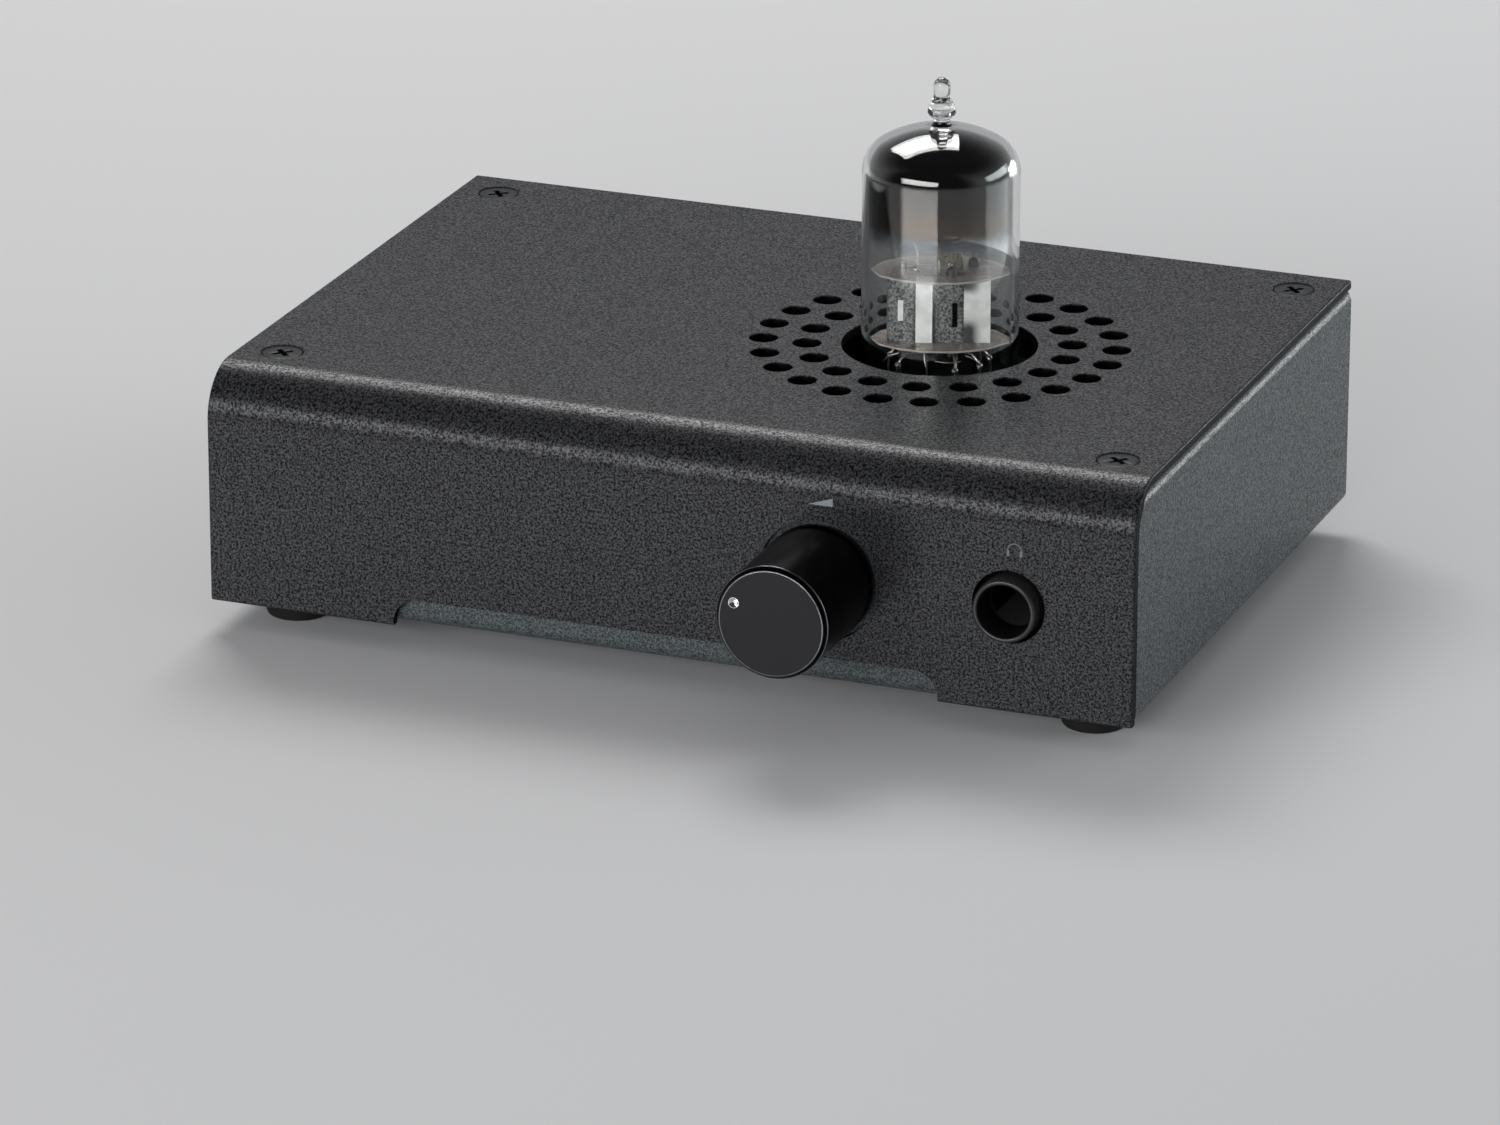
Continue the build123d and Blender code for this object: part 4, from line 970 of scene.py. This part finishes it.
def tipPath():
    # the neck flares into the crown, then bead, waist and a round nipple
    neckRise, neckRadius = bulb["tipStations"][0]
    foot = bulb["tipFoot"]
    path = [
        (foot - (foot - neckRadius) * sin(a), crownZ + neckRise * (1 - cos(a))) for a in quarter[1:]
    ]
    path += throughPoints([(radius, crownZ + rise) for rise, radius in bulb["tipStations"]])
    nipple = bulb["tipStations"][-1][1]
    return path + arcPoints((0, tipZ - nipple), nipple, 0, 90, 10)


def clearGlass(values):
    # lamps shine through it, so what is inside stays lit
    finish = Finish("tube_clear_glass")
    glass = finish.principled(
        Base_Color=values["tint"],
        Roughness=0.012 * finish.noise(5.0, detail=3.0).ramp(0.45, 0.75),
        IOR=1.5,
        Transmission_Weight=1.0,
    )
    clear = finish.node("ShaderNodeBsdfTransparent", {}, {"Color": values["shade"]}, "BSDF")
    return finish.show(finish.blend(finish.rays("Is Shadow Ray"), glass, clear))


def getterMirror(values):
    # barium mirror: chrome over the crown, darkened as a painted dark reflection, brown and then blue
    # where it thins out
    finish = Finish("getter_mirror")
    cloud = finish.noise(3.4, detail=3.0)
    speck = finish.noise(0.45)
    level = finish.axes()[2] + 2.2 * (cloud - 0.5) + 0.4 * (speck - 0.5)
    paintedDarkChrome, brown, blue = values["filmColours"]
    full, toBrown, toPaintedDark = [level.ramp(*heights) for heights in values["filmFades"]]
    return finish.paint(
        Base_Color=finish.mix(toPaintedDark, finish.mix(toBrown, blue, brown), paintedDarkChrome),
        Metallic=1.0,
        Roughness=0.03 + 0.06 * cloud.ramp(0.45, 0.8),
        Alpha=full * 0.985,
    )


def buildBulb(values):
    r, heel, base, sides = glassRadius, values["heel"], seatZ + values["base"], values["sides"]
    outline = [(0, seatZ)] + arcPoints((r - heel, seatZ + heel), heel, -90, 0, 8)
    outline += bulbWall(0, shoulderZ, values["tipFoot"])[1:] + tipPath()
    outer = turned("bulb", outline, sides, atTube)
    inner = turned("bulb", [(0, base)] + bulbWall(values["wall"], base), sides, atTube, inside=True)
    glass = joinPieces("tube_bulb", [outer, inner])
    smooth(glass, 45, flatten=False)
    hand(glass, clearGlass(values), "tube", "tube_glass", "tube_glass")

    gap, thickness, reach = values["film"]
    inset = values["wall"] + gap
    front = bulbWall(inset, reach)
    back = bulbWall(inset + thickness, reach)
    film = turned("getter_flash", front + back[::-1] + front[:1], sides, atTube)
    smooth(film, 45, flatten=False)
    hand(film, getterMirror(values), "tube", "bright_nickel")


buildBulb(bulb)
print("glass blown")


# tube: what the glass holds

cage = {
    "turn": 19.0,  # degrees about the tube's axis
    "frameTurn": -14.0,  # and that of the frame's cage
    "framePitch": 7.1,  # distance between the frame's two cathodes
    "squeeze": 0.8,  # of its grids, from front to rear
    # outline of the upper and lower mica, from the tube's axis
    "mica": (
        (9.05, 0.6), (7.4, 3.2), (5.4, 4.8), (2.6, 6.0), (-2.0, 6.0), (-5.4, 4.8), (-7.9, 2.6),
        (-9.05, -0.2), (-7.6, -3.2), (-5.0, -5.0), (-2.0, -6.0), (2.0, -6.0), (5.2, -5.0), (6.6, -3.9),
        (8.9, -1.6),
    ),
    "micaLift": 0.35,
    "micaEdge": 0.05,
    "micaColours": ((0.19, 0.152, 0.14), (0.34, 0.282, 0.262), (0.4, 0.365, 0.34)),  # dull, pale, rim
    # each anode: left, right and half depth of its box, far edge of its flat fins and their depth
    "anodes": ((-6.85, -2.8, 2.0, -0.98, 2.6), (-0.84, 3.4, 2.3, 6.5, 2.3)),
    "corner": 0.8,
    "plateEdge": 0.03,
    # dark and pale mottles, and clouds over both
    "anodeColours": ((0.045, 0.045, 0.046), (0.34, 0.34, 0.34), (0.24, 0.245, 0.255)),
    "fin": 0.22,
    "finColours": ((0.78, 0.775, 0.76), (0.94, 0.935, 0.92), (0.07, 0.07, 0.072)),  # dull and bright nickel, painted pale for the lamps it mirrors, and the painted dark reflection
    # painted dark reflection on the fins comes and goes: at its start and end, over its low and under its
    # high patch
    "darkReflection": ((2.0, 2.4), (3.9, 5.6), (38.4, 40.4), (42.9, 44.3)),
    "slot": (1.6, 2.3, 38.7, 42.0, 1.4),  # left, right, bottom, top and depth
    "lug": (-5.4, -4.7, 39.4, 42.2),  # left, right, bottom and top
    "web": (-0.94, 0.06, 3.0),  # shield between the anodes: place, sheet and half width
    # what stands on the upper mica, with heights above it; of each stud x, y, radius and height
    "studs": ((1.5, -3.1, 0.75, 1.3), (4.35, 1.1, 0.72, 1.3), (-3.4, -0.4, 0.45, 0.5)),
    "strap": (-0.5, 2.9, 0.3, 2.1, 0.16),  # left, right, place, height and sheet
    "strapRibs": (6, 0.15),  # number and radius
    "strapEdge": 0.04,
    "tab": ((2.5, -1.9, 0.0), (4.1, -1.55, 0.2)),
    "post": ((2.25, -2.6, 0.0), (2.37, -2.4, 1.3)),
    # wires: radius and points, the ties above the upper mica and the links at their own height
    "ties": (
        (0.13, (-3.0, -0.5, 0.0), (-3.05, -0.5, 2.2), (-4.1, -0.7, 4.8)),
        (0.1, (-4.9, -1.8, 0.0), (-4.2, -1.5, 0.5), (-3.3, -1.4, 0.3), (-2.6, -1.9, 0.0)),
        (0.13, (-0.2, -2.8, 0.1), (-0.1, -2.7, 1.0), (-0.15, -2.6, 1.9)),
    ),
    "links": (
        (0.14, (-7.1, -3.0, 34.2), (-6.3, -3.7, 35.1), (-5.2, -3.9, 35.6)),
        (0.09, (-0.5, -5.4, 35.0), (1.2, -5.6, 34.9), (2.8, -5.3, 35.0)),
        (0.09, (-1.9, -4.9, 36.2), (-1.85, -5.3, 35.3), (-1.7, -5.6, 34.3)),
        (0.09, (3.3, -5.5, 35.9), (4.6, -5.6, 35.3), (5.3, -5.2, 34.3)),
    ),
    "pin": (0.508, 7.1, 3.0),  # radius, and reach below and above the tube's seat
    "pins": (9, 5.95, -54.0, 36.0),  # number, circle's radius, first and step in degrees
    "lead": 0.17,
    "weld": (0.46, 33.9),  # radius and height of the bead between a pin's wire and its lead
}
lowerMica = nodeBox("tube_lower_mica")
upperMica = nodeBox("tube_upper_mica")
inCage = atTube @ aboutZ(cage["turn"])
micaTop = upperMica[1].z + cage["micaLift"]
plateLow, plateHigh = lowerMica[1].z, upperMica[0].z + cage["micaLift"]


def micaSheet(values):
    # flaky and half clear, paler and denser round its rim
    finish = Finish("mica_sheet")
    dull, pale, rimColour = values["micaColours"]
    flake = finish.noise(2.4, detail=4.0, roughness=0.6)
    fleck = finish.noise(0.35).ramp(0.55, 0.75)
    rim = 1 - finish.axes(finish.place("Normal"), unit=1.0)[2].size().ramp(0.3, 0.8)
    return finish.paint(
        Base_Color=finish.mix(rim, finish.mix(flake.ramp(0.3, 0.7), dull, pale), rimColour),
        Roughness=0.14 + 0.14 * flake,
        Alpha=(0.32 + 0.18 * flake + 0.16 * fleck).larger(0.7 * rim),
        Normal=finish.bump(flake, 0.5, 0.02),
    )


def carbonGrey(values):
    # grey carbonised nickel, mottled
    finish = Finish("anode_grey")
    dark, pale, clouds = values["anodeColours"]
    mottle = finish.noise(0.36, detail=3.0, roughness=0.7)
    cloud = finish.noise(1.7)
    mottled = finish.mix(mottle.ramp(0.38, 0.64), dark, pale)
    return finish.paint(
        Base_Color=finish.mix(0.5 * cloud.ramp(0.45, 0.8), mottled, clouds),
        Metallic=0.5 + 0.3 * cloud,
        Roughness=0.32 + 0.2 * mottle,
        Normal=finish.bump(mottle, 0.5, 0.012),
    )


def finNickel(values):
    # flat nickel fins, painted pale for the lamps they mirror, with soft painted dark reflection near the
    # anode's body, high and low
    finish = Finish("fin_nickel")
    x, y, z = finish.axes()
    turn = radians(values["turn"])
    along = (x - tubeX) * cos(turn) + (y - tubeY) * sin(turn)
    dull, bright, darkReflectionColour = values["finColours"]
    start, end, low, high = values["darkReflection"]
    cloud = finish.noise(1.4)
    length = (1 - along.ramp(*end)) * along.ramp(*start)
    darkReflection = length * (1 - z.ramp(*low) + z.ramp(*high)) * (0.6 + 0.8 * cloud)
    clean = finish.mix(cloud.ramp(0.3, 0.7), dull, bright)
    return finish.paint(
        Base_Color=finish.mix(darkReflection.smaller(1.0), clean, darkReflectionColour),
        Metallic=0.45,
        Roughness=0.3 + 0.12 * cloud,
        Normal=finish.bump(cloud, 0.4, 0.02),
    )


def buildMicas(values):
    finish = micaSheet(values)
    for name, (low, high), lift in (
        ("lower_mica", lowerMica, 0.0),
        ("upper_mica", upperMica, values["micaLift"]),
    ):
        foot, top = low.z + lift, high.z + lift
        mica = facePiece(name, [(x, y, foot) for x, y in values["mica"]])
        bpy.ops.mesh.extrude_region_move(TRANSFORM_OT_translate={"value": (0, 0, (top - foot) * mm)})
        closeUp()
        moved(mica, inCage)
        roundEdges(mica, values["micaEdge"])
        hand(smooth(mica), finish, "tube", "mica", "tube_" + name)


def buildAnodes(values):
    boxes, fins = [], []
    for left, right, deep, edge, finAt in values["anodes"]:
        box = boxPiece("box", (left, -deep, plateLow), (right, deep, plateHigh))
        roundBars(box, "Z", values["corner"], segments=6)
        boxes.append(box)
        for s in (-1, 1):
            near, far = sorted((s * finAt, s * (finAt - values["fin"])))
            fins.append(boxPiece("fin", (right - 0.3, near, plateLow), (edge, far, plateHigh)))
    body = joinPieces("anode_plates", boxes)
    hand(body, carbonGrey(values), "tube", "grey_anode", "tube_anodes")
    # a slot in the right box, its walls black as painted shade
    left, right, low, high, deep = values["slot"]
    front = -values["anodes"][1][2]
    slot = boxPiece("slot", (left, front - 1, low), (right, front + deep, high))
    dress(boreShade, slot)
    combined(body, slot, keepFinish=True)
    smooth(moved(body, inCage))

    # bright pieces: the fins, the lug on the left box, and the shield between the two
    left, right, low, high = values["lug"]
    front = -values["anodes"][0][2]
    lug = boxPiece("lug", (left, front - 0.1, low), (right, front + 0.1, high))
    at, sheet, reach = values["web"]
    web = boxPiece("web", (at, -reach, plateLow), (at + sheet, reach, plateHigh))
    bright = finNickel(values)
    shield = metal("shield_nickel", (0.9, 0.89, 0.87), roughness=0.3, grain=2.5)
    for name, pieces, finish, replaced in (
        ("anode_fins", fins, bright, ()),
        ("anode_lug", [lug], bright, ()),
        ("cage_shield", [web], shield, ("tube_shield",)),
    ):
        piece = moved(joinPieces(name, pieces), inCage)
        roundEdges(piece, values["plateEdge"])
        hand(smooth(piece), finish, "tube", "bright_nickel", *replaced)


def buildCage(values):
    # the frame's cathodes, heaters and grids set inside the two boxes, and its getter on top
    first, second = [(box[0] + box[1]) / 2 for box in values["anodes"]]
    back = aboutZ(-values["frameTurn"]) @ atTube.inverted()
    squeeze = Matrix.Diagonal(((second - first) / values["framePitch"], values["squeeze"], 1, 1))
    inBoxes = inCage @ Matrix.Translation(((first + second) / 2, 0, 0)) @ squeeze
    for name, node, finish, slot, place in (
        ("cathode_sleeves", "tube_cathodes", nickel, "bright_nickel", inBoxes),
        ("heater_wires", "tube_heaters", tungsten, "tungsten", inBoxes),
        ("grid_frames", "tube_grids", nickel, "bright_nickel", inBoxes),
        ("getter_ring", "tube_getter", nickel, "bright_nickel", inCage),
    ):
        piece = moved(refined(name, node, 0.0, angle=35), place @ back)
        hand(piece, finish, "tube", slot, node)


def buildMicaFittings(values):
    top = micaTop
    studs = []
    for x, y, radius, height in values["studs"]:
        dome = [(0, 0), (radius, 0)]
        dome += [(radius * cos(a), height * (0.3 + 0.7 * sin(a))) for a in quarter]
        studs.append(turned("stud", dome, 24, inCage @ standing((x, y, top))))
    dark = plainPlastic("stud_dark", (0.012, 0.01, 0.009), 0.5, grain=0.4, relief=0.04, spread=0.8)
    group = smooth(joinPieces("mica_studs", studs), 50, flatten=False)
    hand(group, dark, "tube", "grey_anode")

    # ribbed strap that stands on the mica and holds the getter's post
    left, right, y, tall, sheet = values["strap"]
    plates = [boxPiece("plate", (left, y, top), (right, y + sheet, top + tall))]
    ribs, radius = values["strapRibs"]
    for i in range(ribs):
        x = left + (right - left) * (i + 0.5) / ribs
        plates.append(rodPiece("rib", radius, (x, y, top + 0.1), (x, y, top + tall - 0.1), 12))
    for name in ("tab", "post"):
        plates.append(boxPiece(name, *[(x, y, top + z) for x, y, z in values[name]]))
    strap = moved(joinPieces("getter_strap", plates), inCage)
    roundEdges(strap, values["strapEdge"], segments=1)
    brown = metal("strap_nickel", (0.42, 0.37, 0.32), roughness=0.3, grain=0.8, stain=0.2)
    hand(smooth(strap), brown, "tube", "bright_nickel")

    for name, wires, foot, finish in (
        ("cage_tie_wires", values["ties"], top, turnedBright),
        ("base_link_wires", values["links"], 0.0, tungsten),
    ):
        pieces = [
            wirePiece(radius, [(x, y, foot + z) for x, y, z in points]) for radius, *points in wires
        ]
        group = smooth(moved(joinPieces(name, pieces), inCage), 50, flatten=False)
        hand(group, finish, "tube", "bright_nickel")


def buildPins(values):
    # pins through the base, each with a lead that bends up under the cage
    r, below, above = values["pin"]
    foot, head = seatZ - below, seatZ + above
    outline = [(0, foot)] + arcPoints((r - 0.25, foot + 0.25), 0.25, -90, 0, 4)
    outline += [(r, head - 0.15), (r - 0.15, head), (0, head)]
    model = smooth(turned("pin", outline, 20), flatten=False)
    count, ring, first, step = values["pins"]
    size, weld = values["weld"]
    bead = arcPoints((0, 0), size, -90, 90, 8)
    under = lowerMica[0].z - 0.4
    # points of a lead: further out than the pin, sideways, and height
    path = (
        (0.0, 0.0, head - 0.3),
        (0.25, 0.15, head + 3.5),
        (0.5, 0.3, weld),
        (-0.6, 0.8, weld + 1.25),
        (-2.3, 0.9, under - 0.45),
        (-2.9, 0.9, under + 0.3),
    )
    pieces = []
    for i in range(count):
        turn = radians(first + step * i)
        out = Vector((cos(turn), sin(turn), 0))
        side = Vector((-sin(turn), cos(turn), 0))
        sway = 0.9 * sin(2.3 * i + 0.7)  # no two leads bend alike
        points = [out * (ring + o) + side * s * sway + Vector((0, 0, z)) for o, s, z in path]
        pieces += [
            copied(model, atTube @ standing(out * ring)),
            moved(wirePiece(values["lead"], points), atTube),
            turned("bead", bead, 16, atTube @ standing(points[2])),
        ]
    bpy.data.objects.remove(model)
    hand(joinPieces("tube_pins_and_leads", pieces), tinned, "tube", "tinned_contact", "tube_pins")


buildMicas(cage)
buildAnodes(cage)
buildCage(cage)
buildMicaFittings(cage)
buildPins(cage)
print("cage assembled")


# washer and hexagon nut that hold each toggle switch in the rear wall

switchNuts = {
    "radius": 4.6,
    "thickness": 1.7,
    "washer": 4.9,
    "washerSheet": 0.4,
    "bore": 3.02,
    "edge": 0.14,
    "turns": {"gain": 12.0, "power": -7.0},  # degrees
}


def buildSwitchNuts(values):
    rear = nodeBox("chassis_tray")[1].y
    outer = rear + values["washerSheet"]
    for side, turn in values["turns"].items():
        axis = nodeMiddle(side + "_switch_bushing")
        x, z = axis.x, axis.z
        nut = rodPiece("nut", values["radius"], (0, 0, 0), (0, 0, values["thickness"]), 6)
        moved(nut, standing((x, outer, z), rearward) @ aboutZ(turn))
        washer = rodPiece("washer", values["washer"], (x, rear, z), (x, outer, z), 48)
        for ring in (washer, nut):
            combined(ring, rodPiece("bore", values["bore"], (x, rear - 1, z), (x, rear + 4, z), 48))
            roundEdges(ring, values["edge"])
        group = smooth(joinPieces(side + "_switch_nut", [washer, nut]))
        hand(group, plated, "case", "plated_steel")


buildSwitchNuts(switchNuts)
print("switches fastened")


# pieces carried over from the frame: softened edges and a finish each

def boardLaminate():
    # solder mask over copper: paler tracks under dark green
    finish = Finish("board_laminate")
    inputs = {"Vector": finish.place(), "Scale": 1 / (9 * mm), "Mortar Size": 0.06}
    inputs.update({"Color1": (0, 0, 0), "Color2": (0.15, 0.15, 0.15), "Mortar": (1, 1, 1)})
    tracks = finish.node("ShaderNodeTexBrick", {"offset": 0.5, "squash": 1.0}, inputs, "Color")
    return finish.paint(
        Base_Color=finish.mix(tracks, (0.01, 0.028, 0.02), (0.022, 0.06, 0.04)),
        Roughness=0.3 + 0.12 * finish.noise(0.6),
        Normal=finish.bump(tracks, 0.4, 0.03),
    )


def sleeved(name, sleeve, node, below):
    # plain plastic sleeve, bare aluminium end
    finish = Finish(name)
    top = nodeBox(node)[1].z
    bare = finish.axes()[2].ramp(*[top - part for part in below])
    grain = finish.noise(1.2, detail=3.0)
    return finish.paint(
        Base_Color=finish.mix(bare, sleeve, (0.55, 0.56, 0.57)),
        Metallic=bare,
        Roughness=0.3 + 0.12 * grain,
        Normal=finish.bump(grain, 0.4, 0.01),
    )


def banded(name, body, bands, pitch):
    # part that lies along X, with coloured rings round it
    finish = Finish(name)
    wave = (finish.axes()[0] * (2 * pi / pitch)).sine()
    return finish.paint(
        Base_Color=finish.mix(wave.ramp(0.55, 0.7), body, bands),
        Roughness=0.3 + 0.15 * finish.noise(0.6),
    )


footRubber = plainPlastic("foot_rubber", (0.01, 0.01, 0.01), roughness=0.75, relief=0.02, sheen=0.3)
aluminium = metal("raw_aluminium", (0.66, 0.67, 0.68), roughness=0.36, streak=(1, 1, 0.1))
socketBody = plainPlastic("socket_body", (0.02, 0.018, 0.016), roughness=0.5)
blueSleeve = sleeved("blue_sleeve", (0.016, 0.02, 0.04), "reservoir_capacitors", (0.9, 0.5))
blackSleeve = sleeved("black_sleeve", (0.014, 0.014, 0.016), "small_capacitors", (0.7, 0.4))
filmRed = plainPlastic("film_red", (0.3, 0.03, 0.016), roughness=0.22, grain=1.5)
diodeBody = banded("diode_body", (0.013, 0.013, 0.014), (0.5, 0.5, 0.5), 12.0)
resistorBody = banded("resistor_body", (0.1, 0.25, 0.33), (0.2, 0.1, 0.05), 1.3)
phonoPlastics = {
    side: plainPlastic(name, colour, roughness=0.32, grain=1.5, relief=0.004, spread=0.05)
    for side, name, colour in (
        ("left", "jack_white", (0.6, 0.6, 0.58)),
        ("right", "jack_red", (0.42, 0.018, 0.014)),
    )
}

# finish and slot, and for each node its piece's name and edge rounding
carried = [
    (footRubber, "foot_rubber", {"feet": ("rubber_feet", 0.0)}),
    (boardLaminate(), "board_laminate", {"main_board": ("amplifier_board", 0.08)}),
    (socketBody, "socket_ceramic", {"tube_socket": ("valve_socket", 0.15)}),
    (screwBlack, "black_screw", {"knob_set_screw": ("knob_grub_screw", 0.03)}),
    # the socket's housing takes the bore's painted shade
    (boreShade, "moulded_black", {"headphone_jack_body": ("headphone_jack_housing", 0.0)}),
    (aluminium, "raw_aluminium", {"heatsinks": ("heatsink_pair", 0.08)}),
    (blueSleeve, "capacitor_sleeve", {"reservoir_capacitors": ("reservoir_group", 0.1)}),
    (blackSleeve, "capacitor_sleeve", {"small_capacitors": ("small_capacitor_group", 0.1)}),
    (filmRed, "film_red", {"film_capacitors": ("film_capacitor_row", 0.12)}),
    (diodeBody, "moulded_black", {"rectifier_diodes": ("diode_group", 0.06)}),
    (resistorBody, "resistor_body", {"resistors": ("resistor_group", 0.0)}),
    (plated, "plated_steel", {
        "clinch_nuts": ("clinch_nut_set", 0.1),
        "board_standoffs": ("board_standoff_set", 0.1),
        "board_screws": ("board_screw_set", 0.06),
        "pot_shaft": ("volume_shaft", 0.06),
        "pot_bushing": ("volume_bushing", 0.08),
        "gain_switch_bushing": ("gain_switch_collar", 0.06),
        "power_switch_bushing": ("power_switch_collar", 0.06),
        "gain_switch_lever": ("gain_toggle", 0.0),
        "power_switch_lever": ("power_toggle", 0.0),
    }),
    (mouldedBlack, "moulded_black", {
        "pot_wiper": ("volume_wiper", 0.06),
        "pot_body": ("volume_housing", 0.15),
        "power_inlet_body": ("inlet_housing", 0.1),
        "gain_switch_body": ("gain_switch_housing", 0.15),
        "power_switch_body": ("power_switch_housing", 0.15),
        "mute_relay": ("relay_case", 0.12),
        "voltage_regulators": ("regulator_pair", 0.08),
        "output_transistors": ("transistor_row", 0.08),
        "input_jack_block": ("input_jack_housing", 0.15),
        "output_jack_block": ("output_jack_housing", 0.15),
    }),
    (tinned, "tinned_contact", {
        "tube_socket_contacts": ("valve_socket_contacts", 0.0),
        "headphone_jack_contacts": ("headphone_jack_springs", 0.05),
        "power_inlet_pin": ("inlet_pin", 0.0),
    }),
]
for side, slot in (("left", "phono_white"), ("right", "phono_red")):
    for stem in ("input_" + side, "output_" + side):
        carried += [
            (tinned, "phono_barrel", {stem + "_barrel": (stem + "_phono_shell", 0.06)}),
            (phonoPlastics[side], slot, {stem + "_insulator": (stem + "_phono_core", 0.06)}),
            (tinned, "tinned_contact", {stem + "_contact": (stem + "_phono_contact", 0.0)}),
        ]
# bodies of those that move
riders = {
    "knob_set_screw": "knob",
    "pot_shaft": "knob",
    "pot_wiper": "knob",
    "gain_switch_lever": "gain_lever",
    "power_switch_lever": "power_lever",
}


def carryOver(groups):
    for finish, slot, rows in groups:
        for node, (name, edge) in rows.items():
            piece = refined(name, node, edge, angle=38)
            hand(piece, finish, riders.get(node, "case"), slot, node)


carryOver(carried)
print("inner and rear pieces dressed")
